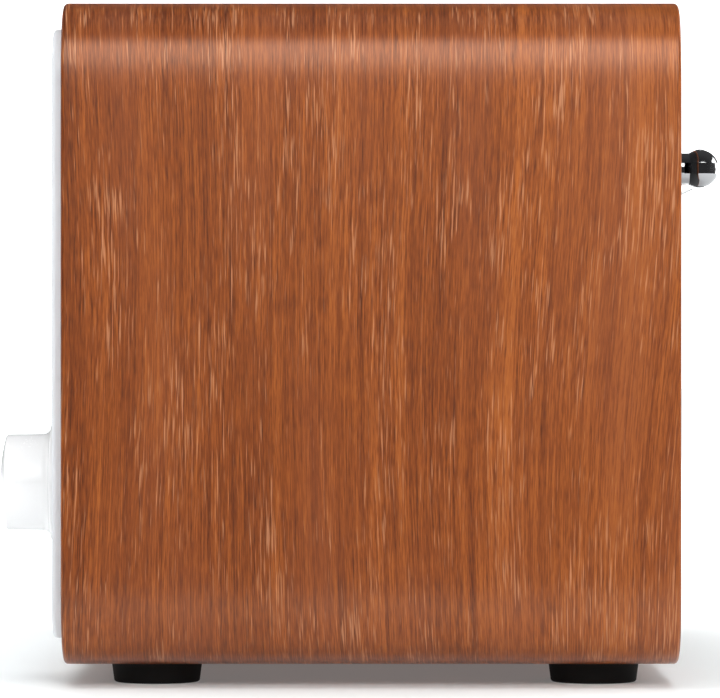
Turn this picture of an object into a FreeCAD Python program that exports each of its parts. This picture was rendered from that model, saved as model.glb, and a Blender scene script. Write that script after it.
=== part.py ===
"""A tabletop radio: wood cabinet, moulded front panel, speaker, controls, boards and antenna.

Millimetres. X points right and Y points back as seen from the front, and Z points up.
The origin is on the table, under the middle of the box that holds the whole radio.
"""

import FreeCAD
import Part
import math
import os

Vector = FreeCAD.Vector
RIGHT = Vector(1, 0, 0)
BACK = Vector(0, 1, 0)
UP = Vector(0, 0, 1)
SAME = 1e-6

# ---------------------------------------------------------------- driving sizes

# Cabinet
cabinet_width = 250.0
cabinet_depth = 136.0
cabinet_height = 147.0
cabinet_wall = 5.8
cabinet_corner_radius = 15.3
cabinet_edge_round = 0.8
block_size = 20.0
front_block_depth = 10.0
rear_block_depth = 12.0
middle_block_width = 18.0
middle_block_height = 11.0

# Feet
foot_diameter = 20.3
foot_height = 4.5
foot_taper = 0.5
foot_edge_round = 0.7
foot_inset_side = 28.0
foot_inset_front = 20.0
foot_inset_rear = 18.0
foot_screw_recess = 2.7

# Front panel
panel_gap = 0.2
panel_proud = 2.35
panel_thickness = 3.5
panel_edge_round = 1.0
panel_skirt_depth = 11.0
panel_skirt_wall = 2.2
panel_boss_diameter = 9.0
panel_boss_inset = 12.0
front_margin = 17.5

# Speaker grille
grille_diameter = 100.0
grille_thickness = 1.8
grille_fit = 0.2
grille_slot = 2.2
grille_slot_pitch = 4.1
grille_rim = 3.0
grille_rib = 2.4
cloth_thickness = 0.5

# Speaker
speaker_opening_radius = 40.0
speaker_flange_radius = 45.0
speaker_flange_thickness = 1.5
speaker_seat_height = 3.0
speaker_seat_overhang = 1.0
gasket_thickness = 1.5
speaker_screw_circle = 42.4
surround_width = 4.5
surround_lip = 2.5
surround_thickness = 0.5
cone_thickness = 0.5
cone_depth = 11.0
coil_radius = 9.9
coil_wall = 0.5
coil_length = 12.0
basket_wall = 1.2
basket_depth = 17.5
basket_foot_radius = 26.2
spider_radius = 24.0
spider_thickness = 0.5
magnet_radius = 27.0
magnet_thickness = 10.0
top_plate_radius = 24.0
top_plate_thickness = 3.0
yoke_radius = 25.0
yoke_thickness = 3.5
pole_radius = 8.9
coil_gap = 0.7
dust_cap_radius = 12.0
dust_cap_rise = 4.0
dust_cap_thickness = 0.4

# Display
window_width = 86.0
window_height = 36.0
window_corner_radius = 3.0
window_thickness = 1.6
window_ledge = 4.0
window_fit = 0.15
display_fit = 1.0
display_window_space = 0.6

# Control board
control_board_space = 9.0
control_board_thickness = 1.6
control_board_margin = 3.0
post_diameter = 6.0

# Knob and its encoder
knob_inset_side = 39.0
knob_centre_height = 39.9
knob_rim_radius = 10.75
knob_foot_radius = 10.95
knob_rim_height = 12.1
knob_dome_rise = 1.5
knob_edge_round = 0.5
knob_flange_radius = 13.2
knob_flange_thickness = 1.2
knob_flange_fillet = 1.9
knob_lift = 0.8
knob_nut_gap = 1.2
encoder_width = 12.0
encoder_depth = 6.5
encoder_wall = 1.0
encoder_bushing_radius = 3.5
encoder_bushing_reach = 3.2
encoder_hole_fit = 0.2
encoder_chamber_radius = 4.4
encoder_nut_flats = 10.0
encoder_nut_thickness = 2.0
shaft_radius = 3.0
shaft_fit = 0.05
shaft_flat_depth = 0.8
shaft_reach = 10.5
shaft_collar_radius = 4.1
shaft_collar_thickness = 1.4
plunger_thickness = 2.3

# Push buttons
button_diameter = 9.0
button_fit = 0.2
button_edge_round = 0.5
button_column_gap = 17.0
button_row_gap = 18.0
button_first_x = 28.0
button_flange_radius = 5.6
button_flange_thickness = 1.0
button_rest_gap = 0.1
button_stem_radius = 2.0
button_travel = 0.4
switch_width = 6.0
switch_depth = 3.5
switch_stem_radius = 1.75
switch_stem_length = 1.0

# Rear panel
rear_recess = 2.0
rear_thickness = 3.0
vent_width = 2.0
vent_height = 24.0
vent_pitch = 5.0
vent_count = 9
vent_first_x = 22.0
vent_centre_above_middle = 18.0

# Bass port
port_x = -85.0
port_below_middle = 36.0
port_inner_radius = 12.0
port_wall = 1.5
port_length = 60.0
port_flange_radius = 17.0
port_flange_thickness = 1.5
port_flare = 2.0

# Main board and what stands on it
standoff_height = 8.0
standoff_flats = 5.5
board_left = 12.0
board_right = 94.0
board_length = 70.0
board_thickness = 1.6
board_rear_gap = 1.0
board_hole_inset = 5.0
tuner_size = (32.0, 24.0, 6.0)
heatsink_size = (26.0, 16.0, 20.0)
heatsink_fin = 1.2
heatsink_fins = 6
capacitor_radius = 5.0
capacitor_height = 14.0
capacitor_count = 3
capacitor_pitch = 12.0

# Sockets
audio_jack_size = (10.0, 13.0, 9.0)
audio_nose_radius = 3.0
audio_bore_radius = 1.8
audio_bore_depth = 14.0
audio_jack_x = (28.0, 46.0)
dc_jack_size = (10.0, 14.0, 11.0)
dc_nose_radius = 4.3
dc_bore_radius = 3.0
dc_bore_depth = 10.0
dc_pin_radius = 1.0
dc_pin_length = 9.0
dc_jack_x = 76.0
nose_fit = 0.2

# Telescopic antenna
antenna_x = 100.0
antenna_above_bottom = 110.5
antenna_pivot_reach = 5.7
antenna_ball_radius = 4.2
antenna_stem_radius = 3.4
antenna_stem_fit = 0.05
antenna_slot = 2.4
antenna_tongue_fit = 0.05
antenna_tongue_radius = 3.4
antenna_slot_floor_gap = 0.3
antenna_pin_radius = 1.0
antenna_pin_fit = 0.05
antenna_ferrule_radius = 4.0
antenna_ferrule_start = 5.4
antenna_ferrule_plug = 3.0
antenna_ferrule_length = 11.0
antenna_section_radii = (3.5, 3.0, 2.5, 2.0)
antenna_section_wall = 0.4
antenna_section_length = 168.0
antenna_section_step = 2.0
antenna_section_start_gap = 1.0
antenna_tip_radius = 3.3
antenna_tip_length = 7.0
bushing_flange_radius = 7.0
bushing_flange_thickness = 1.2
bushing_neck_radius = 5.0
bushing_neck_past_panel = 1.0
antenna_nut_flats = 11.0
antenna_nut_thickness = 3.0
antenna_nut_gap = 0.2
antenna_stem_past_nut = 2.0

# Screws: shank radius, head radius, head height
wood_screw = (1.5, 3.0, 2.2)
machine_screw = (1.2, 2.5, 1.8)
screw_slot = 0.9
screw_slot_depth = 1.0
screw_hole_fit = 0.3

# Wires inside
speaker_lead_diameter = 2.4
antenna_lead_diameter = 1.6
control_cable_diameter = 4.0

# ---------------------------------------------------------------- places that follow from the sizes

knob_height = knob_rim_height + knob_dome_rise
front_reach = panel_proud + knob_height
rear_reach = antenna_pivot_reach + antenna_ball_radius
front_y = front_reach - (cabinet_depth + front_reach + rear_reach) / 2
rear_y = front_y + cabinet_depth
bottom_z = foot_height
top_z = bottom_z + cabinet_height
middle_z = (bottom_z + top_z) / 2
half_width = cabinet_width / 2
inner_half_width = half_width - cabinet_wall
inner_half_height = cabinet_height / 2 - cabinet_wall
floor_z = bottom_z + cabinet_wall

panel_half_width = inner_half_width - panel_gap
panel_half_height = inner_half_height - panel_gap
panel_corner_radius = cabinet_corner_radius - cabinet_wall - panel_gap
panel_face_y = front_y - panel_proud
panel_back_y = panel_face_y + panel_thickness
panel_skirt_end_y = panel_back_y + panel_skirt_depth
front_block_back_y = panel_skirt_end_y + front_block_depth
boss_x = panel_half_width - panel_boss_inset
boss_z = panel_half_height - panel_boss_inset

grille_radius = grille_diameter / 2
speaker_x = -panel_half_width + front_margin + grille_radius
speaker_z = middle_z
cloth_y = panel_face_y + grille_thickness
speaker_seat_y = panel_back_y + speaker_seat_height
flange_y = speaker_seat_y + gasket_thickness
surround_outer_radius = speaker_opening_radius
cone_radius = surround_outer_radius - surround_lip - surround_width
surround_front = 0.4
cone_front = surround_front + surround_thickness
basket_foot_y = flange_y + basket_depth
magnet_front_y = basket_foot_y + top_plate_thickness
magnet_back_y = magnet_front_y + magnet_thickness

window_x = panel_half_width - front_margin - window_width / 2
window_z = middle_z + panel_half_height - front_margin - window_height / 2
window_opening_width = window_width - 2 * window_ledge
window_opening_height = window_height - 2 * window_ledge

control_board_y = panel_back_y + control_board_space
control_board_back_y = control_board_y + control_board_thickness
knob_x = half_width - knob_inset_side
knob_z = bottom_z + knob_centre_height
encoder_front_y = control_board_y - encoder_depth
button_xs = (button_first_x, button_first_x + button_column_gap)
button_zs = (knob_z + button_row_gap / 2, knob_z - button_row_gap / 2)
button_places = {
    "power_button": (button_xs[0], button_zs[0]),
    "source_button": (button_xs[1], button_zs[0]),
    "menu_button": (button_xs[0], button_zs[1]),
    "preset_button": (button_xs[1], button_zs[1]),
}
switch_tip_y = control_board_y - switch_depth - switch_stem_length
control_board_left = button_xs[0] - 16.0
control_board_right = window_x + window_width / 2
control_board_low = button_zs[1] - 9.0
control_board_high = middle_z + panel_half_height - panel_skirt_wall - control_board_margin
post_right_x = boss_x - panel_boss_diameter / 2 - post_diameter / 2 - 5.0
post_places = (
    (control_board_left + post_diameter / 2 + 1.0, control_board_high - post_diameter / 2 - 1.0),
    (post_right_x, control_board_high - post_diameter / 2 - 1.0),
    (control_board_left + post_diameter / 2 + 1.0, knob_z),
    (post_right_x, control_board_low + post_diameter / 2 + 1.0),
)

rear_outer_y = rear_y - rear_recess
rear_inner_y = rear_outer_y - rear_thickness
rear_block_front_y = rear_inner_y - rear_block_depth
rear_screw_x = inner_half_width - block_size / 2
rear_screw_z = inner_half_height - block_size / 2
middle_screw_z = inner_half_height - middle_block_height / 2
port_z = middle_z - port_below_middle

board_z = floor_z + standoff_height
board_top_z = board_z + board_thickness
board_back_y = rear_inner_y - board_rear_gap
board_front_y = board_back_y - board_length
audio_jack_z = board_top_z + audio_jack_size[2] / 2
dc_jack_z = board_top_z + dc_jack_size[2] / 2

antenna_z = bottom_z + antenna_above_bottom
antenna_pivot_y = rear_y + antenna_pivot_reach
antenna_pivot = Vector(antenna_x, antenna_pivot_y, antenna_z)
bushing_end_y = rear_inner_y - bushing_neck_past_panel
antenna_nut_y = bushing_end_y - antenna_nut_gap - antenna_nut_thickness

screw_clear = machine_screw[0] + 0.1

PARTS = "parts"


# ---------------------------------------------------------------- shape helpers


def box(low, high):
    """A block between two opposite corners."""
    low = Vector(*low)
    size = Vector(*high) - low
    return Part.makeBox(size.x, size.y, size.z, low)


def rod(start, direction, length, radius):
    """A round bar that starts at a point and runs along a direction."""
    return Part.makeCylinder(radius, length, Vector(*start), direction)


def tube(start, direction, length, outer, inner):
    """A round pipe."""
    return rod(start, direction, length, outer).cut(rod(start, direction, length, inner))


def hexagon(start, direction, length, flats):
    """A hexagonal bar, with its size across the flats."""
    start = Vector(*start)
    across = RIGHT if abs(direction.x) < 0.5 else UP
    other = direction.cross(across)
    corner = flats / math.sqrt(3)
    points = []
    for k in range(7):
        turn = math.radians(60 * k)
        points.append(start + across * (corner * math.cos(turn)) + other * (corner * math.sin(turn)))
    return Part.Face(Part.makePolygon(points)).extrude(direction * length)


def rounded_prism(half_x, half_z, radius, y_start, y_end, centre_x=0.0, centre_z=middle_z):
    """A prism along Y whose outline is a rectangle with round corners."""
    prism = box(
        (centre_x - half_x, y_start, centre_z - half_z),
        (centre_x + half_x, y_end, centre_z + half_z),
    )
    upright = [e for e in prism.Edges if abs(e.tangentAt(e.FirstParameter).y) > 0.9]
    return prism.makeFillet(radius, upright)


def turned(profile, at, axis):
    """A solid of revolution. Each profile corner is (radius, distance along the axis).

    A corner written as a pair of corners is an arc through the first of them to the second.
    """
    at = Vector(*at)
    radial = UP if abs(axis.x) > 0.5 else RIGHT

    def place(corner):
        return at + radial * corner[0] + axis * corner[1]

    edges = []
    here = place(profile[0])
    for corner in profile[1:] + profile[:1]:
        if isinstance(corner[0], tuple):
            end = place(corner[1])
            edges.append(Part.Arc(here, place(corner[0]), end).toShape())
        else:
            end = place(corner)
            edges.append(Part.LineSegment(here, end).toShape())
        here = end
    return Part.Face(Part.Wire(edges)).revolve(at, axis, 360)


def loop_edges(solid, y):
    """The edges of a solid that lie in the plane at y."""
    edges = []
    for edge in solid.Edges:
        ends = edge.BoundBox
        if abs(ends.YMin - y) < SAME and abs(ends.YMax - y) < SAME:
            edges.append(edge)
    return edges


def cap_ball(at, axis, rim_radius, rim, rise, inset=0.0):
    """The ball whose cap stands a rise above a round rim that is at a distance along the axis.

    The cap points against the axis. An inset makes a smaller ball about the same centre.
    """
    radius = (rim_radius**2 + rise**2) / (2 * rise)
    return Part.makeSphere(radius - inset, Vector(*at) + axis * (rim + radius - rise))


def screw(seat, direction, length, kind):
    """A pan head screw. The head's underside is at seat, and the shank runs along direction."""
    shank_radius, head_radius, head_height = kind
    seat = Vector(*seat)
    edge = head_height * 0.45
    body = turned(
        [
            (0, length),
            (0, -head_height),
            ((head_radius * 0.6, -head_height * 0.88), (head_radius, -edge)),
            (head_radius, 0),
            (shank_radius, 0),
            (shank_radius, length - shank_radius),
        ],
        seat,
        direction,
    )
    across = RIGHT if abs(direction.x) < 0.5 else UP
    other = direction.cross(across)
    reach = head_radius * 0.62
    for along, side in ((across, other), (other, across)):
        corners = [
            seat + along * (reach * a) + side * (screw_slot / 2 * b) - direction * head_height
            for a, b in ((-1, -1), (1, -1), (1, 1), (-1, 1), (-1, -1))
        ]
        body = body.cut(Part.Face(Part.makePolygon(corners)).extrude(direction * screw_slot_depth))
    return body


def wire_through(points):
    """A path of straight runs joined by tangent arcs, as large as the runs allow."""
    points = [Vector(*p) for p in points]
    edges = []
    here = points[0]
    radii = []
    for before, corner, after in zip(points, points[1:], points[2:]):
        into = (before - corner).normalize()
        out = (after - corner).normalize()
        half_turn = (math.pi - into.getAngle(out)) / 2
        reach = 0.45 * min((before - corner).Length, (after - corner).Length)
        radii.append(round(reach / math.tan(half_turn), 1))
        start = corner + into * reach
        end = corner + out * reach
        bisector = (into + out).normalize()
        radius = reach / math.tan(half_turn)
        middle = corner + bisector * (radius / math.cos(half_turn) - radius)
        edges.append(Part.LineSegment(here, start).toShape())
        edges.append(Part.Arc(start, middle, end).toShape())
        here = end
    edges.append(Part.LineSegment(here, points[-1]).toShape())
    print("bend radii", radii)
    return Part.Wire(edges)


def cable(points, diameter):
    """A round wire along a path of runs and arcs."""
    path = wire_through(points)
    start = path.Edges[0].valueAt(path.Edges[0].FirstParameter)
    ahead = path.Edges[0].tangentAt(path.Edges[0].FirstParameter)
    section = Part.Wire(Part.Circle(start, ahead, diameter / 2).toShape())
    solid = path.makePipeShell([section], True, False)
    expected = math.pi * diameter**2 / 4 * path.Length
    print("cable volume share", round(solid.Volume / expected, 4))
    return solid


def save(name, *solids):
    """Writes one node, which may hold several separate solids."""
    shape = solids[0] if len(solids) == 1 else Part.makeCompound(list(solids))
    shape.exportStep(os.path.join(PARTS, name + ".step"))


# ---------------------------------------------------------------- cabinet


def corner_signs():
    return [(sx, sz) for sx in (-1, 1) for sz in (-1, 1)]


def foot_places():
    """The name and place of each foot."""
    x = half_width - foot_inset_side
    return {
        "foot_front_left": (-x, front_y + foot_inset_front),
        "foot_front_right": (x, front_y + foot_inset_front),
        "foot_rear_left": (-x, rear_y - foot_inset_rear),
        "foot_rear_right": (x, rear_y - foot_inset_rear),
    }


def cabinet_bore(y_start, y_end):
    """The space inside the cabinet between two depths."""
    return rounded_prism(
        inner_half_width, inner_half_height, cabinet_corner_radius - cabinet_wall, y_start, y_end
    )


def cabinet_shell():
    outer = rounded_prism(half_width, cabinet_height / 2, cabinet_corner_radius, front_y, rear_y)
    outer = outer.makeFillet(cabinet_edge_round, loop_edges(outer, front_y) + loop_edges(outer, rear_y))
    shell = outer.cut(cabinet_bore(front_y - 1, rear_y + 1))
    pilots = [
        rod((x, y, bottom_z - 1), UP, cabinet_wall + 2, wood_screw[0])
        for x, y in foot_places().values()
    ]
    return shell.cut(pilots)


def corner_block(sx, sz, y_start, y_end):
    """A wood block glued into one corner of the cabinet."""
    x_outer = sx * (inner_half_width + 1)
    x_inner = sx * (inner_half_width - block_size)
    z_outer = middle_z + sz * (inner_half_height + 1)
    z_inner = middle_z + sz * (inner_half_height - block_size)
    corner = box(
        (min(x_outer, x_inner), y_start, min(z_outer, z_inner)),
        (max(x_outer, x_inner), y_end, max(z_outer, z_inner)),
    )
    return corner.common(cabinet_bore(y_start, y_end))


def front_corner_blocks():
    blocks = []
    for sx, sz in corner_signs():
        block = corner_block(sx, sz, panel_skirt_end_y, front_block_back_y)
        hole = rod(
            (sx * boss_x, panel_skirt_end_y - 1, middle_z + sz * boss_z),
            BACK,
            front_block_depth + 2,
            wood_screw[0] + screw_hole_fit,
        )
        blocks.append(block.cut(hole))
    return blocks


def rear_screw_places():
    places = [(sx * rear_screw_x, middle_z + sz * rear_screw_z) for sx, sz in corner_signs()]
    return places + [(0, middle_z + middle_screw_z), (0, middle_z - middle_screw_z)]


def rear_corner_blocks():
    blocks = [corner_block(sx, sz, rear_block_front_y, rear_inner_y) for sx, sz in corner_signs()]
    for sz in (1, -1):
        z_wall = middle_z + sz * inner_half_height
        z_inner = middle_z + sz * (inner_half_height - middle_block_height)
        blocks.append(
            box(
                (-middle_block_width / 2, rear_block_front_y, min(z_wall, z_inner)),
                (middle_block_width / 2, rear_inner_y, max(z_wall, z_inner)),
            )
        )
    drilled = []
    for block, (x, z) in zip(blocks, rear_screw_places()):
        pilot = rod((x, rear_block_front_y - 1, z), BACK, rear_block_depth + 2, wood_screw[0])
        drilled.append(block.cut(pilot))
    return drilled


def foot(x, y):
    """A rubber foot, turned, with a recess under it for its screw."""
    radius = foot_diameter / 2
    base = radius - foot_taper
    turn = foot_edge_round * (1 - math.sqrt(0.5))
    recess = wood_screw[1] + 0.6
    hole = wood_screw[0] + 0.1
    return turned(
        [
            (hole, foot_height),
            (hole, foot_screw_recess),
            (recess, foot_screw_recess),
            (recess, 0),
            (base - foot_edge_round, 0),
            ((base - turn, turn), (base, foot_edge_round)),
            (radius, foot_height),
        ],
        (x, y, 0),
        UP,
    )


def foot_screws():
    length = foot_height - foot_screw_recess + cabinet_wall - 0.3
    return [screw((x, y, foot_screw_recess), UP, length, wood_screw) for x, y in foot_places().values()]


# ---------------------------------------------------------------- front panel


def front_panel():
    """The moulded panel: a plate, a skirt that slides into the cabinet, bosses, posts and openings."""
    outer = rounded_prism(
        panel_half_width, panel_half_height, panel_corner_radius, panel_face_y, panel_skirt_end_y
    )
    outer = outer.makeFillet(panel_edge_round, loop_edges(outer, panel_face_y))
    hollow = rounded_prism(
        panel_half_width - panel_skirt_wall,
        panel_half_height - panel_skirt_wall,
        panel_corner_radius - panel_skirt_wall,
        panel_back_y,
        panel_skirt_end_y + 1,
    )
    panel = outer.cut(hollow)
    panel = panel.fuse(panel_additions()).cut(panel_openings())
    return panel.removeSplitter()


def panel_additions():
    """What stands on the back of the panel's plate."""
    added = []
    for sx, sz in corner_signs():
        start = (sx * boss_x, panel_back_y - 0.5, middle_z + sz * boss_z)
        added.append(rod(start, BACK, panel_skirt_depth + 0.5, panel_boss_diameter / 2))
    for x, z in post_places:
        post_start = (x, panel_back_y - 0.5, z)
        added.append(rod(post_start, BACK, control_board_space + 0.5, post_diameter / 2))
    seat_start = (speaker_x, panel_back_y - 0.5, speaker_z)
    added.append(
        rod(seat_start, BACK, speaker_seat_height + 0.5, speaker_flange_radius + speaker_seat_overhang)
    )
    encoder_seat = encoder_front_y - panel_back_y
    added.append(rod((knob_x, panel_back_y - 0.5, knob_z), BACK, encoder_seat + 0.5, encoder_width / 2))
    return added


def panel_openings():
    """What is cut out of the panel."""
    front = panel_face_y - 1
    through = panel_thickness + panel_skirt_depth
    cuts = []
    for sx, sz in corner_signs():
        pilot = (sx * boss_x, panel_back_y, middle_z + sz * boss_z)
        cuts.append(rod(pilot, BACK, panel_skirt_depth + 1, wood_screw[0]))
    for x, z in post_places:
        cuts.append(rod((x, panel_back_y + 1, z), BACK, control_board_space, machine_screw[0]))
    recess_depth = 1 + grille_thickness + cloth_thickness
    cuts.append(rod((speaker_x, front, speaker_z), BACK, recess_depth, grille_radius + grille_fit))
    cuts.append(rod((speaker_x, front, speaker_z), BACK, through, speaker_opening_radius))
    for x, z in speaker_screw_places():
        cuts.append(rod((x, panel_back_y, z), BACK, speaker_seat_height + 1, machine_screw[0]))
    cuts.append(
        rounded_prism(
            window_width / 2, window_height / 2, window_corner_radius,
            front, panel_face_y + window_thickness, window_x, window_z,
        )
    )
    cuts.append(
        rounded_prism(
            window_opening_width / 2, window_opening_height / 2, window_corner_radius,
            front, panel_back_y + 1, window_x, window_z,
        )
    )
    cuts.append(rod((knob_x, front, knob_z), BACK, through, encoder_bushing_radius + encoder_hole_fit))
    for x, z in button_places.values():
        cuts.append(rod((x, front, z), BACK, panel_thickness + 2, button_diameter / 2 + button_fit))
    return cuts


def front_panel_screws():
    length = front_block_depth + panel_skirt_depth - 2
    return [
        screw((sx * boss_x, front_block_back_y, middle_z + sz * boss_z), -BACK, length, wood_screw)
        for sx, sz in corner_signs()
    ]


def speaker_grille():
    """A round insert with level slots, crossed by two upright ribs."""
    grille = turned(
        [
            (0, 0),
            (grille_radius - 0.5, 0),
            (grille_radius, 0.5),
            (grille_radius, grille_thickness),
            (0, grille_thickness),
        ],
        (speaker_x, panel_face_y, speaker_z),
        BACK,
    )
    reach = grille_radius - grille_rim
    count = int((reach - grille_slot / 2) / grille_slot_pitch)
    slots = []
    for k in range(-count, count + 1):
        offset = k * grille_slot_pitch
        half_chord = math.sqrt(reach**2 - (abs(offset) + grille_slot / 2) ** 2)
        slots.append(
            box(
                (speaker_x - half_chord, panel_face_y - 1, speaker_z + offset - grille_slot / 2),
                (speaker_x + half_chord, cloth_y + 1, speaker_z + offset + grille_slot / 2),
            )
        )
    ribs = [
        box(
            (speaker_x + side * grille_radius / 3 - grille_rib / 2, cloth_y - 1.0, speaker_z - reach),
            (speaker_x + side * grille_radius / 3 + grille_rib / 2, cloth_y, speaker_z + reach),
        )
        for side in (-1, 1)
    ]
    inside = rod((speaker_x, panel_face_y, speaker_z), BACK, grille_thickness, reach + 0.5)
    return grille.cut(slots).fuse([rib.common(inside) for rib in ribs]).removeSplitter()


def grille_cloth():
    return rod((speaker_x, cloth_y, speaker_z), BACK, cloth_thickness, grille_radius)


# ---------------------------------------------------------------- speaker


def speaker_screw_places():
    places = []
    for k in range(4):
        turn = math.radians(45 + 90 * k)
        places.append(
            (
                speaker_x + speaker_screw_circle * math.cos(turn),
                speaker_z + speaker_screw_circle * math.sin(turn),
            )
        )
    return places


def speaker_turned(profile):
    """A round speaker part, with distances measured back from the front of its flange."""
    return turned(profile, (speaker_x, flange_y, speaker_z), BACK)


def speaker_gasket():
    ring = speaker_turned(
        [
            (speaker_opening_radius, -gasket_thickness),
            (speaker_flange_radius, -gasket_thickness),
            (speaker_flange_radius, 0),
            (speaker_opening_radius, 0),
        ]
    )
    holes = [
        rod((x, flange_y - gasket_thickness - 1, z), BACK, gasket_thickness + 2, screw_clear)
        for x, z in speaker_screw_places()
    ]
    return ring.cut(holes)


def speaker_basket():
    """The pressed frame, with four windows between its arms."""
    ledge = surround_outer_radius - surround_lip
    lip_back = surround_front + surround_thickness
    foot_front = basket_depth - 1.5
    frame = speaker_turned(
        [
            (surround_outer_radius, 0),
            (speaker_flange_radius, 0),
            (speaker_flange_radius, speaker_flange_thickness),
            (ledge + basket_wall, speaker_flange_thickness),
            (basket_foot_radius, basket_depth),
            (coil_radius + 4, basket_depth),
            (coil_radius + 4, foot_front),
            (spider_radius - 2, foot_front),
            (spider_radius - 2, foot_front - 0.5),
            (basket_foot_radius - basket_wall, foot_front - 0.5),
            (ledge, speaker_flange_thickness),
            (ledge, lip_back),
            (surround_outer_radius, lip_back),
        ]
    )
    windows = []
    for k in range(4):
        block = box(
            (spider_radius * 1.12, 4.0, -11.0),
            (speaker_flange_radius, foot_front - 2.5, 11.0),
        )
        block.rotate(Vector(0, 0, 0), BACK, 90 * k)
        block.translate(Vector(speaker_x, flange_y, speaker_z))
        windows.append(block)
    holes = [rod((x, flange_y - 1, z), BACK, speaker_flange_thickness + 2, screw_clear)
             for x, z in speaker_screw_places()]
    return frame.cut(windows + holes)


def speaker_surround():
    """The rubber half roll between the cone and the basket."""
    inner = cone_radius
    outer = cone_radius + surround_width
    middle = (inner + outer) / 2
    roll = surround_width / 2
    front = surround_front
    back = surround_front + surround_thickness
    return speaker_turned(
        [
            (inner - surround_lip, front),
            (inner, front),
            ((middle, front - roll), (outer, front)),
            (surround_outer_radius, front),
            (surround_outer_radius, back),
            (outer - surround_thickness, back),
            ((middle, back - roll), (inner + surround_thickness, back)),
            (inner - surround_lip, back),
        ]
    )


def speaker_cone():
    """The paper cone, with a flat rim under the surround."""
    inner_rim = cone_radius - surround_lip
    slope_back = cone_front + cone_depth
    return speaker_turned(
        [
            (coil_radius, slope_back),
            (inner_rim, cone_front),
            (cone_radius, cone_front),
            (cone_radius, cone_front + cone_thickness),
            (inner_rim + 0.3, cone_front + cone_thickness),
            (coil_radius, slope_back + cone_thickness * 1.3),
        ]
    )


def speaker_dust_cap():
    """A thin domed shell over the coil, with its rim on the cone."""
    slope = cone_depth / (cone_radius - surround_lip - coil_radius)
    rim = cone_front + cone_depth - (dust_cap_radius - coil_radius) * slope
    at = (speaker_x, flange_y, speaker_z)
    ball = cap_ball(at, BACK, dust_cap_radius, rim, dust_cap_rise)
    inside = cap_ball(at, BACK, dust_cap_radius, rim, dust_cap_rise, dust_cap_thickness)
    start = (speaker_x, flange_y + rim - dust_cap_rise, speaker_z)
    slab = rod(start, BACK, dust_cap_rise, dust_cap_radius)
    return ball.cut(inside).common(slab)


def voice_coil():
    start = cone_front + cone_depth
    return speaker_turned(
        [
            (coil_radius - coil_wall, start),
            (coil_radius, start),
            (coil_radius, start + coil_length),
            (coil_radius - coil_wall, start + coil_length),
        ]
    )


def speaker_spider():
    """The corrugated ring that centres the coil."""
    inner = coil_radius + 0.1
    back = basket_depth - 2.0
    front = back - spider_thickness
    waves = 3
    step = (spider_radius - 2 - inner - 1.0) / waves
    lower = [(inner, back)]
    upper = []
    for k in range(waves):
        start = inner + 0.5 + k * step
        upper.append((start, front))
        upper.append((start + step / 2, front - 1.0))
        lower.append((start, back))
        lower.append((start + step / 2, back - 1.0))
    last = inner + 0.5 + waves * step
    upper += [(last, front), (spider_radius, front)]
    lower += [(last, back), (spider_radius, back)]
    return speaker_turned([(inner, front)] + upper + lower[::-1])


def speaker_top_plate():
    hole = coil_radius + coil_gap
    start = (speaker_x, basket_foot_y, speaker_z)
    return tube(start, BACK, top_plate_thickness, top_plate_radius, hole)


def speaker_magnet():
    start = (speaker_x, magnet_front_y, speaker_z)
    return tube(start, BACK, magnet_thickness, magnet_radius, coil_radius + 4)


def speaker_yoke():
    """The back plate with the pole that stands in the coil."""
    back = magnet_back_y - flange_y
    return speaker_turned(
        [
            (0, basket_depth),
            (pole_radius, basket_depth),
            (pole_radius, back),
            (yoke_radius, back),
            (yoke_radius, back + yoke_thickness - 0.8),
            (yoke_radius - 0.8, back + yoke_thickness),
            (0, back + yoke_thickness),
        ]
    )


def speaker_screws():
    length = speaker_flange_thickness + gasket_thickness + speaker_seat_height - 0.5
    return [
        screw((x, flange_y + speaker_flange_thickness, z), -BACK, length, machine_screw)
        for x, z in speaker_screw_places()
    ]


# ---------------------------------------------------------------- controls


def display_window():
    return rounded_prism(
        window_width / 2 - window_fit, window_height / 2 - window_fit, window_corner_radius - window_fit,
        panel_face_y, panel_face_y + window_thickness, window_x, window_z,
    )


def display_module():
    front = panel_face_y + window_thickness + display_window_space
    half_x = window_opening_width / 2 - display_fit
    half_z = window_opening_height / 2 - display_fit
    return box(
        (window_x - half_x, front, window_z - half_z),
        (window_x + half_x, control_board_y, window_z + half_z),
    )


def control_board():
    board = box(
        (control_board_left, control_board_y, control_board_low),
        (control_board_right, control_board_back_y, control_board_high),
    )
    holes = [
        rod((x, control_board_y - 1, z), BACK, control_board_thickness + 2, screw_clear)
        for x, z in post_places
    ]
    return board.cut(holes)


def encoder_body():
    """The encoder's case and threaded bushing, hollow for the shaft and its plunger."""
    half = encoder_width / 2
    case = box(
        (knob_x - half, encoder_front_y, knob_z - half),
        (knob_x + half, control_board_y, knob_z + half),
    )
    bushing_front = panel_face_y - encoder_bushing_reach
    bushing = rod(
        (knob_x, bushing_front, knob_z),
        BACK,
        encoder_front_y - bushing_front + 0.5,
        encoder_bushing_radius,
    )
    chamber_length = encoder_depth - 2 * encoder_wall
    chamber = rod(
        (knob_x, encoder_front_y + encoder_wall, knob_z), BACK, chamber_length, encoder_chamber_radius
    )
    bore = rod(
        (knob_x, bushing_front - 1, knob_z),
        BACK,
        encoder_front_y + encoder_wall + 2 - bushing_front,
        shaft_radius + shaft_fit,
    )
    return case.fuse(bushing).cut([chamber, bore]).removeSplitter()


def encoder_nut():
    start = (knob_x, panel_face_y - encoder_nut_thickness, knob_z)
    nut = hexagon(start, BACK, encoder_nut_thickness, encoder_nut_flats)
    return nut.cut(rod(start, BACK, encoder_nut_thickness, encoder_bushing_radius))


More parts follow.
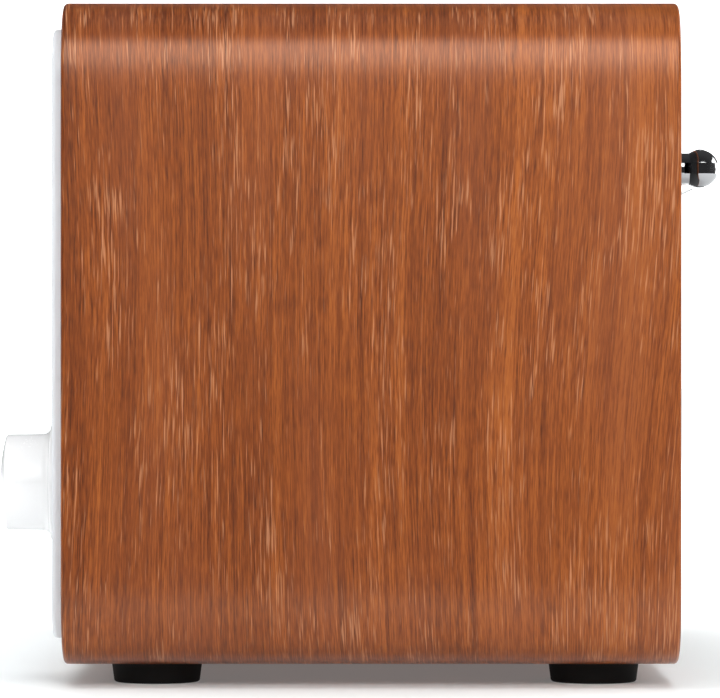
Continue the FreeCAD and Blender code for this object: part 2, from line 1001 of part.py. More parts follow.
def encoder_shaft():
    """The D shaft and its collar, which stops it coming out of the bushing."""
    collar_front = encoder_front_y + encoder_wall + 0.1
    tip = panel_face_y - shaft_reach
    shaft = rod((knob_x, tip, knob_z), BACK, collar_front + shaft_collar_thickness - tip, shaft_radius)
    collar = rod((knob_x, collar_front, knob_z), BACK, shaft_collar_thickness, shaft_collar_radius)
    flat_end = panel_face_y - encoder_bushing_reach - 1.0
    flat = box(
        (knob_x - shaft_radius, tip - 1, knob_z + shaft_radius - shaft_flat_depth),
        (knob_x + shaft_radius, flat_end, knob_z + shaft_radius + 1),
    )
    return shaft.fuse(collar).cut(flat).removeSplitter()


def encoder_plunger():
    """The disc behind the shaft that closes the push switch."""
    front = encoder_front_y + encoder_wall + 0.1 + shaft_collar_thickness
    return rod((knob_x, front, knob_z), BACK, plunger_thickness, shaft_collar_radius)


def tuning_knob():
    """A turned knob with a domed face and a flange at its foot, hollow over the nut."""
    at = (knob_x, panel_face_y, knob_z)
    foot = -knob_lift
    flange_top = foot - knob_flange_thickness
    fillet_top = flange_top - knob_flange_fillet
    rim = -knob_rim_height
    tip = rim - knob_dome_rise
    draft = (knob_foot_radius - knob_rim_radius) / (fillet_top - rim)
    cut = 1 - math.sqrt(0.5)
    fillet_mid = (
        knob_foot_radius + knob_flange_fillet * cut,
        flange_top - knob_flange_fillet * cut,
    )
    body = turned(
        [
            (0, foot),
            (knob_flange_radius - 0.4, foot),
            (knob_flange_radius, foot - 0.4),
            (knob_flange_radius, flange_top + 0.3),
            (knob_flange_radius - 0.3, flange_top),
            (knob_foot_radius + knob_flange_fillet, flange_top),
            (fillet_mid, (knob_foot_radius, fillet_top)),
            (knob_rim_radius - draft * (knob_dome_rise + 1), tip - 1),
            (0, tip - 1),
        ],
        at,
        BACK,
    )
    body = body.common(cap_ball(at, BACK, knob_rim_radius, rim, knob_dome_rise))
    rim_edges = loop_edges(body, panel_face_y + rim)
    body = body.makeFillet(knob_edge_round, rim_edges)
    hollow_radius = encoder_nut_flats / math.sqrt(3) + knob_nut_gap
    hollow_depth = encoder_bushing_reach + knob_nut_gap - knob_lift
    hollow = rod((knob_x, panel_face_y + foot, knob_z), -BACK, hollow_depth, hollow_radius)
    bore_tip = panel_face_y - shaft_reach - 0.1
    bore = rod((knob_x, bore_tip, knob_z), BACK, panel_face_y - bore_tip, shaft_radius + shaft_fit)
    flat_key = box(
        (knob_x - shaft_radius - 1, bore_tip - 1, knob_z + shaft_radius - shaft_flat_depth + shaft_fit),
        (knob_x + shaft_radius + 1, panel_face_y, knob_z + shaft_radius + 2),
    )
    return body.cut([hollow, bore.cut(flat_key)])


def push_button(x, z):
    """A round cap that is flush with the panel, with a flange behind it and a stem to its switch."""
    radius = button_diameter / 2
    flange_front = panel_thickness + button_rest_gap
    flange_back = flange_front + button_flange_thickness
    stem_end = switch_tip_y - panel_face_y - button_travel - 0.1
    turn = button_edge_round * (1 - math.sqrt(0.5))
    return turned(
        [
            (0, 0),
            (radius - button_edge_round, 0),
            ((radius - turn, turn), (radius, button_edge_round)),
            (radius, flange_front),
            (button_flange_radius, flange_front),
            (button_flange_radius, flange_back),
            (button_stem_radius, flange_back),
            (button_stem_radius, stem_end),
            (0, stem_end),
        ],
        (x, panel_face_y, z),
        BACK,
    )


def push_switches():
    switches = []
    half = switch_width / 2
    for x, z in button_places.values():
        body = box(
            (x - half, control_board_y - switch_depth, z - half),
            (x + half, control_board_y, z + half),
        )
        stem = rod((x, switch_tip_y, z), BACK, switch_stem_length + 0.5, switch_stem_radius)
        switches.append(body.fuse(stem).removeSplitter())
    return switches


# ---------------------------------------------------------------- rear panel and port


def rear_panel():
    panel = rounded_prism(
        inner_half_width - panel_gap,
        inner_half_height - panel_gap,
        cabinet_corner_radius - cabinet_wall - panel_gap,
        rear_inner_y,
        rear_outer_y,
    )
    start = rear_inner_y - 1
    through = rear_thickness + 2
    screw_hole = wood_screw[0] + screw_hole_fit
    cuts = [rod((x, start, z), BACK, through, screw_hole) for x, z in rear_screw_places()]
    cuts.append(rod((port_x, start, port_z), BACK, through, port_inner_radius + port_wall))
    cuts.append(rod((antenna_x, start, antenna_z), BACK, through, bushing_neck_radius))
    for x in audio_jack_x:
        cuts.append(rod((x, start, audio_jack_z), BACK, through, audio_nose_radius + nose_fit))
    cuts.append(rod((dc_jack_x, start, dc_jack_z), BACK, through, dc_nose_radius + nose_fit))
    vent_z = middle_z + vent_centre_above_middle
    for k in range(vent_count):
        x = vent_first_x + k * vent_pitch
        cuts.append(
            box(
                (x - vent_width / 2, start, vent_z - vent_height / 2),
                (x + vent_width / 2, start + through, vent_z + vent_height / 2),
            )
        )
    return panel.cut(cuts)


def rear_panel_screws():
    length = rear_thickness + rear_block_depth - 3
    return [screw((x, rear_outer_y, z), -BACK, length, wood_screw) for x, z in rear_screw_places()]


def bass_port():
    """A flared tube from the rear panel into the cabinet."""
    inner = port_inner_radius
    outer = inner + port_wall
    flare = port_flare
    cut = 1 - math.sqrt(0.5)
    return turned(
        [
            (inner, -port_length),
            (outer, -port_length),
            (outer, 0),
            (port_flange_radius, 0),
            (port_flange_radius, port_flange_thickness - 0.5),
            (port_flange_radius - 0.5, port_flange_thickness),
            (inner + flare, port_flange_thickness),
            (
                (inner + flare * cut, port_flange_thickness - flare * cut),
                (inner, port_flange_thickness - flare),
            ),
        ],
        (port_x, rear_outer_y, port_z),
        BACK,
    )


# ---------------------------------------------------------------- boards and sockets


def board_hole_places():
    xs = (board_left + board_hole_inset, board_right - board_hole_inset)
    ys = (board_front_y + board_hole_inset, board_back_y - audio_jack_size[1] - 2 * board_hole_inset)
    return [(x, y) for x in xs for y in ys]


def main_board():
    board = box((board_left, board_front_y, board_z), (board_right, board_back_y, board_top_z))
    holes = [
        rod((x, y, board_z - 1), UP, board_thickness + 2, screw_clear)
        for x, y in board_hole_places()
    ]
    return board.cut(holes)


def board_standoffs():
    posts = []
    for x, y in board_hole_places():
        post = hexagon((x, y, floor_z), UP, standoff_height, standoff_flats)
        posts.append(post.cut(rod((x, y, floor_z + 1), UP, standoff_height, machine_screw[0])))
    return posts


def board_screws():
    """The screws of both boards."""
    flat = [
        screw((x, y, board_top_z), -UP, board_thickness + standoff_height - 2, machine_screw)
        for x, y in board_hole_places()
    ]
    length = control_board_thickness + control_board_space - 2
    upright = [
        screw((x, control_board_back_y, z), -BACK, length, machine_screw)
        for x, z in post_places
    ]
    return flat + upright


def on_board(size, x, y):
    """A block of a size that stands on the main board, with one low corner at x, y."""
    return box((x, y, board_top_z), (x + size[0], y + size[1], board_top_z + size[2]))


def tuner_module():
    can = on_board(tuner_size, board_left + 12.0, board_front_y + 22.0)
    top = [e for e in can.Edges if e.BoundBox.ZMin > board_top_z + tuner_size[2] - 0.01]
    return can.makeFillet(0.6, top)


def amplifier_heatsink():
    """A block with fins that point up."""
    x = board_right - heatsink_size[0] - 4.0
    y = board_front_y + 22.0
    sink = on_board(heatsink_size, x, y)
    gap = (heatsink_size[0] - heatsink_fin * heatsink_fins) / (heatsink_fins - 1)
    grooves = []
    for k in range(heatsink_fins - 1):
        start = x + heatsink_fin + k * (heatsink_fin + gap)
        grooves.append(
            box(
                (start, y - 1, board_top_z + 4.0),
                (start + gap, y + heatsink_size[1] + 1, board_top_z + 40.0),
            )
        )
    return sink.cut(grooves)


def filter_capacitors():
    cans = []
    for k in range(capacitor_count):
        x = board_left + 24.0 + k * capacitor_pitch
        can = rod((x, board_front_y + 10.0, board_top_z), UP, capacitor_height, capacitor_radius)
        top = [e for e in can.Edges if e.BoundBox.ZMin > board_top_z + capacitor_height - 0.01]
        cans.append(can.makeFillet(0.8, top))
    return cans


def socket_case(size, x, z, nose_radius):
    """A socket's case on the board, with a nose through the rear panel."""
    case = box(
        (x - size[0] / 2, rear_inner_y - size[1], z - size[2] / 2),
        (x + size[0] / 2, rear_inner_y, z + size[2] / 2),
    )
    return case.fuse(rod((x, rear_inner_y - 0.5, z), BACK, rear_thickness + 0.5, nose_radius))


def audio_jacks():
    """Two 3.5 mm sockets: headphones and line in."""
    jacks = []
    for x in audio_jack_x:
        case = socket_case(audio_jack_size, x, audio_jack_z, audio_nose_radius)
        bore_start = (x, rear_outer_y - audio_bore_depth, audio_jack_z)
        bore = rod(bore_start, BACK, audio_bore_depth + 1, audio_bore_radius)
        jacks.append(case.cut(bore).removeSplitter())
    return jacks


def dc_jack():
    """The power inlet: a round well with a pin on its axis."""
    case = socket_case(dc_jack_size, dc_jack_x, dc_jack_z, dc_nose_radius)
    floor = rear_outer_y - dc_bore_depth
    well = rod((dc_jack_x, floor, dc_jack_z), BACK, dc_bore_depth + 1, dc_bore_radius)
    pin = rod((dc_jack_x, floor - 0.5, dc_jack_z), BACK, dc_pin_length + 0.5, dc_pin_radius)
    return case.cut(well).fuse(pin).removeSplitter()


def speaker_lead():
    """From the speaker's magnet to the main board."""
    y = magnet_front_y + magnet_thickness / 2
    return cable(
        [
            (speaker_x + magnet_radius, y, speaker_z - 4.0),
            (speaker_x + magnet_radius + 14.0, y + 1.0, speaker_z - 6.0),
            (speaker_x + magnet_radius + 25.0, y + 6.0, speaker_z - 18.0),
            (board_left - 8.0, board_front_y + 8.0, board_top_z + 26.0),
            (board_left + 1.0, board_front_y + 13.0, board_top_z + 14.0),
            (board_left + 5.0, board_front_y + 16.0, board_top_z),
        ],
        speaker_lead_diameter,
    )


def antenna_lead():
    """From a lug beside the antenna's bushing to the tuner."""
    x = antenna_x - bushing_flange_radius - 3.0
    return cable(
        [
            (x, rear_inner_y, antenna_z - 4.0),
            (x - 1.0, rear_inner_y - 9.0, antenna_z - 6.0),
            (x - 5.0, rear_inner_y - 15.0, antenna_z - 18.0),
            (x - 14.0, rear_inner_y - 19.0, antenna_z - 34.0),
            (x - 28.0, rear_inner_y - 25.0, antenna_z - 48.0),
            (board_left + 33.0, board_front_y + 38.0, board_top_z + 28.0),
            (board_left + 28.0, board_front_y + 35.0, board_top_z + 16.0),
            (board_left + 27.0, board_front_y + 34.0, board_top_z + tuner_size[2]),
        ],
        antenna_lead_diameter,
    )


def control_cable():
    """From the back of the control board to the front of the main board."""
    x = knob_x - 6.0
    return cable(
        [
            (x, control_board_back_y, knob_z + 22.0),
            (x, control_board_back_y + 12.0, knob_z + 22.0),
            (x + 1.0, control_board_back_y + 24.0, knob_z + 14.0),
            (x, board_front_y + 1.0, knob_z - 2.0),
            (x - 2.0, board_front_y + 9.0, board_top_z + 10.0),
            (x - 2.0, board_front_y + 9.0, board_top_z),
        ],
        control_cable_diameter,
    )


# ---------------------------------------------------------------- antenna


def antenna_bushing():
    bore = antenna_stem_radius + antenna_stem_fit
    return turned(
        [
            (bore, bushing_end_y - rear_outer_y),
            (bushing_neck_radius, bushing_end_y - rear_outer_y),
            (bushing_neck_radius, 0),
            (bushing_flange_radius, 0),
            (bushing_flange_radius, bushing_flange_thickness - 0.4),
            (bushing_flange_radius - 0.4, bushing_flange_thickness),
            (bore, bushing_flange_thickness),
        ],
        (antenna_x, rear_outer_y, antenna_z),
        BACK,
    )


def antenna_base():
    """The stem that turns in the bushing, with a slotted ball at its end."""
    stem_start = antenna_nut_y - antenna_stem_past_nut
    start = (antenna_x, stem_start, antenna_z)
    stem = rod(start, BACK, antenna_pivot_y - stem_start, antenna_stem_radius)
    ball = Part.makeSphere(antenna_ball_radius, antenna_pivot)
    reach = antenna_ball_radius + 1
    slot = box(
        (
            antenna_x - reach,
            antenna_pivot_y - antenna_tongue_radius - antenna_slot_floor_gap,
            antenna_z - antenna_slot / 2,
        ),
        (antenna_x + reach, antenna_pivot_y + reach, antenna_z + antenna_slot / 2),
    )
    pin_hole = rod((antenna_x, antenna_pivot_y, antenna_z - reach), UP, 2 * reach, antenna_pin_radius)
    return stem.fuse(ball).removeSplitter().cut([slot, pin_hole])


def antenna_nut():
    start = (antenna_x, antenna_nut_y, antenna_z)
    nut = hexagon(start, BACK, antenna_nut_thickness, antenna_nut_flats)
    return nut.cut(rod(start, BACK, antenna_nut_thickness, antenna_stem_radius))


def antenna_pivot_pin():
    """A plain pin whose ends are rounded to follow the ball."""
    length = 2 * (antenna_ball_radius + 0.1)
    pin = rod((antenna_x, antenna_pivot_y, antenna_z - length / 2), UP, length, antenna_pin_radius)
    return pin.common(Part.makeSphere(antenna_ball_radius + 0.1, antenna_pivot))


def antenna_knuckle():
    """The flat tongue between the ball's cheeks, and the round ferrule that holds the tubes."""
    thickness = antenna_slot - 2 * antenna_tongue_fit
    low = antenna_z - thickness / 2
    tongue = rod((antenna_x, antenna_pivot_y, low), UP, thickness, antenna_tongue_radius)
    ferrule_x = antenna_x - antenna_ferrule_start
    web = box(
        (ferrule_x - 1, antenna_pivot_y - antenna_tongue_radius, low),
        (antenna_x, antenna_pivot_y + antenna_tongue_radius, low + thickness),
    )
    round_over = 0.6
    ferrule = turned(
        [
            (0, 0),
            (antenna_ferrule_radius - round_over, 0),
            (antenna_ferrule_radius, round_over),
            (antenna_ferrule_radius, antenna_ferrule_length - round_over),
            (antenna_ferrule_radius - round_over / 2, antenna_ferrule_length),
            (antenna_section_radii[0], antenna_ferrule_length),
            (antenna_section_radii[0], antenna_ferrule_plug),
            (0, antenna_ferrule_plug),
        ],
        (ferrule_x, antenna_pivot_y, antenna_z),
        -RIGHT,
    )
    hole = rod(
        (antenna_x, antenna_pivot_y, low - 1), UP, thickness + 2, antenna_pin_radius + antenna_pin_fit
    )
    return tongue.fuse([web, ferrule]).cut(hole).removeSplitter()


def antenna_section(index):
    """One tube of the telescope, counted from the outside; the last is a solid rod."""
    outer = antenna_section_radii[index]
    root_x = antenna_x - antenna_ferrule_start - antenna_ferrule_plug
    start_x = root_x - index * antenna_section_start_gap
    end_x = root_x - antenna_section_length - index * antenna_section_step
    length = start_x - end_x
    chamfer = 0.2
    inner = 0 if index == len(antenna_section_radii) - 1 else outer - antenna_section_wall
    return turned(
        [
            (inner, 0),
            (outer, 0),
            (outer, length - chamfer),
            (outer - chamfer, length),
            (inner, length),
        ],
        (start_x, antenna_pivot_y, antenna_z),
        -RIGHT,
    )


def antenna_tip():
    """The rounded cap on the end of the last rod."""
    steps = len(antenna_section_radii) - 1
    end_x = (
        antenna_x - antenna_ferrule_start - antenna_ferrule_plug
        - antenna_section_length - steps * antenna_section_step
    )
    radius = antenna_tip_radius
    cut = 1 - math.sqrt(0.5)
    round_over = 1.4
    return turned(
        [
            (0, 0),
            (radius - 0.4, 0),
            (radius, 0.4),
            (radius, antenna_tip_length - round_over),
            (
                (radius - round_over * cut, antenna_tip_length - round_over * cut),
                (radius - round_over, antenna_tip_length),
            ),
            (0, antenna_tip_length),
        ],
        (end_x, antenna_pivot_y, antenna_z),
        -RIGHT,
    )


# ---------------------------------------------------------------- the whole radio


def build():
    os.makedirs(PARTS, exist_ok=True)

    save("cabinet_shell", cabinet_shell())
    save("front_corner_blocks", *front_corner_blocks())
    save("rear_corner_blocks", *rear_corner_blocks())
    for name, (x, y) in foot_places().items():
        save(name, foot(x, y))
    save("foot_screws", *foot_screws())

    save("front_panel", front_panel())
    save("front_panel_screws", *front_panel_screws())
    save("speaker_grille", speaker_grille())
    save("grille_cloth", grille_cloth())

    save("speaker_gasket", speaker_gasket())
    save("speaker_basket", speaker_basket())
    save("speaker_surround", speaker_surround())
    save("speaker_cone", speaker_cone())
    save("speaker_dust_cap", speaker_dust_cap())
    save("voice_coil", voice_coil())
    save("speaker_spider", speaker_spider())
    save("speaker_top_plate", speaker_top_plate())
    save("speaker_magnet", speaker_magnet())
    save("speaker_yoke", speaker_yoke())
    save("speaker_screws", *speaker_screws())

    save("display_window", display_window())
    save("display_module", display_module())
    save("control_board", control_board())
    save("encoder_body", encoder_body())
    save("encoder_nut", encoder_nut())
    save("encoder_shaft", encoder_shaft())
    save("encoder_plunger", encoder_plunger())
    save("tuning_knob", tuning_knob())
    for name, (x, z) in button_places.items():
        save(name, push_button(x, z))
    save("push_switches", *push_switches())

    save("rear_panel", rear_panel())
    save("rear_panel_screws", *rear_panel_screws())
    save("bass_port", bass_port())

    save("main_board", main_board())
    save("board_standoffs", *board_standoffs())
    save("board_screws", *board_screws())
    save("tuner_module", tuner_module())
    save("amplifier_heatsink", amplifier_heatsink())
    save("filter_capacitors", *filter_capacitors())
    save("audio_jacks", *audio_jacks())
    save("dc_jack", dc_jack())
    save("speaker_lead", speaker_lead())
    save("antenna_lead", antenna_lead())
    save("control_cable", control_cable())

    save("antenna_bushing", antenna_bushing())
    save("antenna_base", antenna_base())
    save("antenna_nut", antenna_nut())
    save("antenna_pivot_pin", antenna_pivot_pin())
    save("antenna_knuckle", antenna_knuckle())
    section_names = ("antenna_tube_1", "antenna_tube_2", "antenna_tube_3", "antenna_rod_4")
    for index, name in enumerate(section_names):
        save(name, antenna_section(index))
    save("antenna_tip", antenna_tip())


build()
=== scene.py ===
# %% [markdown]
# # A tabletop radio, piece by piece
#
# This lesson builds the looks of a small radio around a fixed CAD frame. The frame already holds
# every part at its real size and place, so nothing here is moved or resized. Most parts only need
# a finish. A few are made again where the real one has more shape than the CAD gives it: the wood
# sleeve, the grille, its cloth, the screws and the display's digits.

# %% Load the frame
import math

import bmesh
import bpy
from mathutils import Matrix, Vector


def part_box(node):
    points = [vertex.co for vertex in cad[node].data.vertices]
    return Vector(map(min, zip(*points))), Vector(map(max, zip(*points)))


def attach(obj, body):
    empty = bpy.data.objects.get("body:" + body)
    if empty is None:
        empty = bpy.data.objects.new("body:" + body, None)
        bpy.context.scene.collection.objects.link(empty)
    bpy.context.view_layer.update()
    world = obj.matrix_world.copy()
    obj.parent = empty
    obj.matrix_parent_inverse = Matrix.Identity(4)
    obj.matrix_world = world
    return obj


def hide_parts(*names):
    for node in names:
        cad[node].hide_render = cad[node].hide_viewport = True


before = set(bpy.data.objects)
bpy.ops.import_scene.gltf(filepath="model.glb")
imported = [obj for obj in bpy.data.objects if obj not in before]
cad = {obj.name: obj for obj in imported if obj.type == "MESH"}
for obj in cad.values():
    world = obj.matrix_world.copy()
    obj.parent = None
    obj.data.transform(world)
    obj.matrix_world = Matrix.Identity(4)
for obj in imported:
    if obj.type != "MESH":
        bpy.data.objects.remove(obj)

MM = 0.001
scene = bpy.context.scene
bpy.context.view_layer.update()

# %% Where things are
cabinet_low, cabinet_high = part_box("cabinet_shell")
cabinet_middle = (cabinet_low + cabinet_high) / 2
cabinet_size = cabinet_high - cabinet_low
print("cabinet", [round(v / MM, 1) for v in cabinet_size])

# %% [markdown]
# ## The camera
#
# The radio is seen squarely from its right-hand side by a long lens about a metre away. A long
# lens keeps the far edges nearly as large as the near ones. The camera is set a little off the
# middle, so that the knob and the antenna's joint both come into the frame.

# %% Camera
camera_distance = 1080 * MM
camera_forward = 2.43 * MM
camera_down = 3.4 * MM
view_width = 157.6 * MM
sensor_width = 36.0
camera_data = bpy.data.cameras.new("camera")
camera_data.sensor_width = sensor_width
camera_data.lens = sensor_width * camera_distance / view_width
camera_data.clip_start = 0.01
camera = bpy.data.objects.new("camera", camera_data)
camera.location = (
    cabinet_high.x + camera_distance,
    cabinet_middle.y - camera_forward,
    cabinet_middle.z - camera_down,
)
camera.rotation_euler = (math.radians(90), 0, math.radians(90))
scene.collection.objects.link(camera)
scene.camera = camera
print("lens", round(camera_data.lens, 1), "mm")

# %% [markdown]
# ## Small tools for node trees
#
# Materials and Geometry Nodes are both node trees. One helper adds a node, sets its options and
# fills its inputs, where an input may be a number or another node's output. That keeps each recipe
# short enough to read.

# %% Node helpers
def add(tree, kind, inputs=None, **settings):
    """Adds a node. Inputs are numbers, colours or the outputs of other nodes."""
    node = tree.nodes.new(kind)
    for key, value in settings.items():
        setattr(node, key, value)
    for key, value in (inputs or {}).items():
        if isinstance(value, bpy.types.NodeSocket):
            tree.links.new(value, node.inputs[key])
        else:
            node.inputs[key].default_value = value
    return node


def maths(tree, operation, first, second=0.0):
    """One step of arithmetic."""
    return add(tree, "ShaderNodeMath", {0: first, 1: second}, operation=operation).outputs[0]


def product(tree, first, second):
    """Two values multiplied."""
    return maths(tree, "MULTIPLY", first, second)


def difference(tree, first, second):
    """The first value less the second."""
    return maths(tree, "SUBTRACT", first, second)


def vector(tree, x=0.0, y=0.0, z=0.0):
    """Three values joined into a vector."""
    return add(tree, "ShaderNodeCombineXYZ", {"X": x, "Y": y, "Z": z}).outputs[0]


def parts_of(tree, place):
    """The three parts of a vector, by their names."""
    return add(tree, "ShaderNodeSeparateXYZ", {0: place}).outputs


def ramp(tree, factor, *stops):
    """A colour ramp. Each stop is (place, colour)."""
    node = add(tree, "ShaderNodeValToRGB", {0: factor})
    elements = node.color_ramp.elements
    while len(elements) < len(stops):
        elements.new(0.5)
    for element, (place, colour) in zip(elements, stops):
        element.position = place
        element.color = (*colour, 1)
    return node.outputs[0]


def remap(tree, value, low, high, new_low=0.0, new_high=1.0):
    """Moves a value from one range to another, clamped."""
    inputs = {"Value": value, "From Min": low, "From Max": high, "To Min": new_low, "To Max": new_high}
    return add(tree, "ShaderNodeMapRange", inputs).outputs[0]


def noise(tree, place, scale, detail=2.0, roughness=0.5):
    """Smooth noise between 0 and 1."""
    inputs = {"Vector": place, "Scale": scale, "Detail": detail, "Roughness": roughness}
    return add(tree, "ShaderNodeTexNoise", inputs).outputs["Fac"]


def stretched(tree, place, *scale):
    """A copy of a place with each direction scaled by itself."""
    return add(tree, "ShaderNodeMapping", {"Vector": place, "Scale": scale}).outputs[0]


def srgb(red, green, blue):
    """A colour as a paint chart gives it, 0 to 255, made linear."""
    def linear(channel):
        share = channel / 255
        return share / 12.92 if share <= 0.04045 else ((share + 0.055) / 1.055) ** 2.4
    return (linear(red), linear(green), linear(blue))


def new_material(name):
    """A new material with its node tree and its shader."""
    material = bpy.data.materials.new(name)
    material.use_nodes = True
    return material, material.node_tree, material.node_tree.nodes["Principled BSDF"]

# %% [markdown]
# ## The studio
#
# A white table and white walls make a bright, plain picture. The walls are there only for the eye:
# they are left out of reflections, or they would put a hard white line along the cabinet's top.
# One large soft box high beside the camera does most of the work. Lacquer and chrome show what is
# in front of them, and a bright room there would lay a grey haze over the wood. So the room itself
# is dark, and only the near part of the table is reflected: it makes the pale band low on the wood.

# %% Floor and walls
def flat_sheet(name, width, length, location, rotation=(0, 0, 0)):
    """A sheet that belongs to the studio."""
    x, y = width / 2, length / 2
    mesh = bpy.data.meshes.new(name)
    mesh.from_pydata([(-x, -y, 0), (x, -y, 0), (x, y, 0), (-x, y, 0)], [], [(0, 1, 2, 3)])
    sheet = bpy.data.objects.new(name, mesh)
    sheet.location = location
    sheet.rotation_euler = rotation
    scene.collection.objects.link(sheet)
    return sheet


def plain_white(name, colour, glow):
    """A matt white, with some light of its own."""
    material = bpy.data.materials.new(name)
    material.use_nodes = True
    shader = material.node_tree.nodes["Principled BSDF"]
    shader.inputs["Base Color"].default_value = (*colour, 1)
    shader.inputs["Roughness"].default_value = 0.9
    shader.inputs["Specular IOR Level"].default_value = 0.1
    shader.inputs["Emission Color"].default_value = (*colour, 1)
    shader.inputs["Emission Strength"].default_value = glow
    return material


room_size = 16.0
half_room = room_size / 2
table_reach = 0.14
table_edge = cabinet_high.x + table_reach
near_glow = 0.16
floor_white = plain_white("floor_white", (0.84, 0.865, 0.87), near_glow)
table = flat_sheet("table", half_room + table_edge, room_size, ((table_edge - half_room) / 2, 0, 0))
apron_middle = ((table_edge + half_room) / 2, 0, 0)
apron = flat_sheet("table_front", half_room - table_edge, room_size, apron_middle)
apron.visible_glossy = False
for sheet in (table, apron):
    sheet.data.materials.append(floor_white)
wall_white = plain_white("wall_white", (1, 1, 1), 1.0)
for k in range(4):
    turn = math.pi / 2 * k
    away = Vector((math.cos(turn), math.sin(turn), 0)) * half_room
    wall = flat_sheet(f"wall_{k}", room_size, room_size, away, (0, math.pi / 2, turn))
    wall.data.materials.append(wall_white)
    wall.visible_glossy = False
    wall.visible_diffuse = False
    wall.visible_shadow = False
print("table edge", round(table_edge, 3))

# %% A floor that fades to white
# The floor glows a little under the radio and more further off, so that its far edge is lost.
far_glow = 1.25
fade_start = 0.13
fade_end = 0.9
glow_tree = floor_white.node_tree
floor_place = add(glow_tree, "ShaderNodeNewGeometry").outputs["Position"]
distance = add(
    glow_tree, "ShaderNodeVectorMath", {0: floor_place}, operation="LENGTH").outputs["Value"]
glow = remap(glow_tree, distance, fade_start, fade_end, near_glow, far_glow)
glow_tree.links.new(glow, glow_tree.nodes["Principled BSDF"].inputs["Emission Strength"])
print("floor glow", near_glow, "to", far_glow)

# %% Lamps
scene.view_settings.view_transform = "Standard"


def soft_box(name, location, size, power, in_gloss=True, aim=cabinet_middle):
    """A rectangular lamp that faces the radio. A fill lamp can be left out of reflections."""
    lamp_data = bpy.data.lights.new(name, "AREA")
    lamp_data.shape = "RECTANGLE"
    lamp_data.size, lamp_data.size_y = size
    lamp_data.energy = power
    lamp = bpy.data.objects.new(name, lamp_data)
    lamp.location = location
    lamp.rotation_euler = (Vector(location) - aim).to_track_quat("Z", "Y").to_euler()
    lamp.visible_glossy = in_gloss
    scene.collection.objects.link(lamp)
    return lamp


soft_box("key", (1.68, 0.35, 0.95), (1.7, 0.9), 22)
soft_box("overhead", (0.2, 0.0, 1.7), (1.4, 1.4), 23, in_gloss=False)
soft_box("front_fill", (-0.5, -1.7, 0.8), (1.4, 0.9), 7)
soft_box("rear_fill", (-0.6, 1.7, 0.8), (1.4, 0.9), 12)
soft_box("left_fill", (-1.8, -0.2, 0.8), (1.2, 0.6), 20, in_gloss=False)

# %% The room
room_bright = 0.09
room_dark = 0.05
world = bpy.data.worlds.new("studio")
world.use_nodes = True
sky = world.node_tree.nodes["Background"]
sky.inputs["Color"].default_value = (0.97, 0.98, 1.0, 1)
toward = add(world.node_tree, "ShaderNodeTexCoord").outputs["Generated"]
side = parts_of(world.node_tree, toward)["X"]
brightness = remap(world.node_tree, side, -0.1, 0.55, room_bright, room_dark)
world.node_tree.links.new(brightness, sky.inputs["Strength"])
scene.world = world
print("room", room_bright, "to", room_dark)

# %% [markdown]
# ## One recipe for moulded, cast and plated finishes
#
# Plastics, rubber, metals and paint differ in colour and gloss, but they share a habit: none is
# perfectly even. The recipe gives each a slow drift of tone, a fine grain in its gloss, and a small
# relief. Its numbers are the real sizes of those marks, so a coarse rubber and a smooth moulding
# come from the same few lines.

# %% General finish
def finish(name, colour, roughness, metallic=0.0, tone=0.05, tone_size=25 * MM, grain_size=0.5 * MM,
           relief=0.02 * MM, gloss_change=0.06, stretch=(1, 1, 1), **sockets):
    """A finish with a drift of tone over tone_size, and a grain and relief of grain_size."""
    material, tree, shader = new_material(name)
    place = add(tree, "ShaderNodeTexCoord").outputs["Object"]
    place = stretched(tree, place, *stretch)
    drift = noise(tree, place, 1 / tone_size, 3.0)
    grain = noise(tree, place, 1 / grain_size, 3.0, 0.6)
    darker = tuple(c * (1 - tone) for c in colour)
    lighter = tuple(min(1.0, c * (1 + tone)) for c in colour)
    both = maths(tree, "ADD", product(tree, drift, 0.7), product(tree, grain, 0.3))
    tree.links.new(ramp(tree, both, (0.3, darker), (0.7, lighter)), shader.inputs["Base Color"])
    gloss = remap(tree, both, 0.25, 0.75, roughness - gloss_change, roughness + gloss_change)
    tree.links.new(gloss, shader.inputs["Roughness"])
    bump = add(tree, "ShaderNodeBump", {"Height": grain, "Strength": 0.6, "Distance": relief})
    tree.links.new(bump.outputs[0], shader.inputs["Normal"])
    shader.inputs["Metallic"].default_value = metallic
    for socket, value in sockets.items():
        shader.inputs[socket.replace("_", " ")].default_value = value
    return material


panel_white = finish("panel_white", srgb(232, 234, 238), 0.36, tone=0.012, grain_size=0.35 * MM,
                     relief=0.006 * MM)
knob_white = finish("knob_white", srgb(249, 248, 248), 0.24, tone=0.01, grain_size=0.6 * MM,
                    relief=0.003 * MM)
grille_white = finish("grille_white", srgb(230, 232, 236), 0.32, tone=0.012, relief=0.004 * MM)
rubber = finish("foot_rubber", srgb(24, 23, 22), 0.72, tone=0.25, grain_size=0.3 * MM, relief=0.03 * MM,
                Specular_IOR_Level=0.15)
textured_black = finish("textured_black", srgb(30, 30, 31), 0.55, tone=0.12, grain_size=0.45 * MM,
                        relief=0.05 * MM)
chrome = finish("chrome", (0.42, 0.42, 0.43), 0.09, metallic=1.0, tone=0.03, tone_size=8 * MM,
                relief=0.001 * MM, gloss_change=0.03)
zinc = finish("zinc_plate", (0.56, 0.56, 0.58), 0.34, metallic=1.0, tone=0.1, tone_size=5 * MM,
              grain_size=0.2 * MM)
black_steel = finish("black_steel", srgb(30, 30, 32), 0.42, tone=0.15, grain_size=0.25 * MM)
aluminium = finish("aluminium", (0.60, 0.60, 0.61), 0.36, metallic=1.0, tone=0.08, grain_size=0.3 * MM,
                   stretch=(1, 1, 0.05))
brass = finish("brass", (0.72, 0.50, 0.22), 0.30, metallic=1.0, tone=0.08, tone_size=4 * MM)
print("general finishes", len(bpy.data.materials))

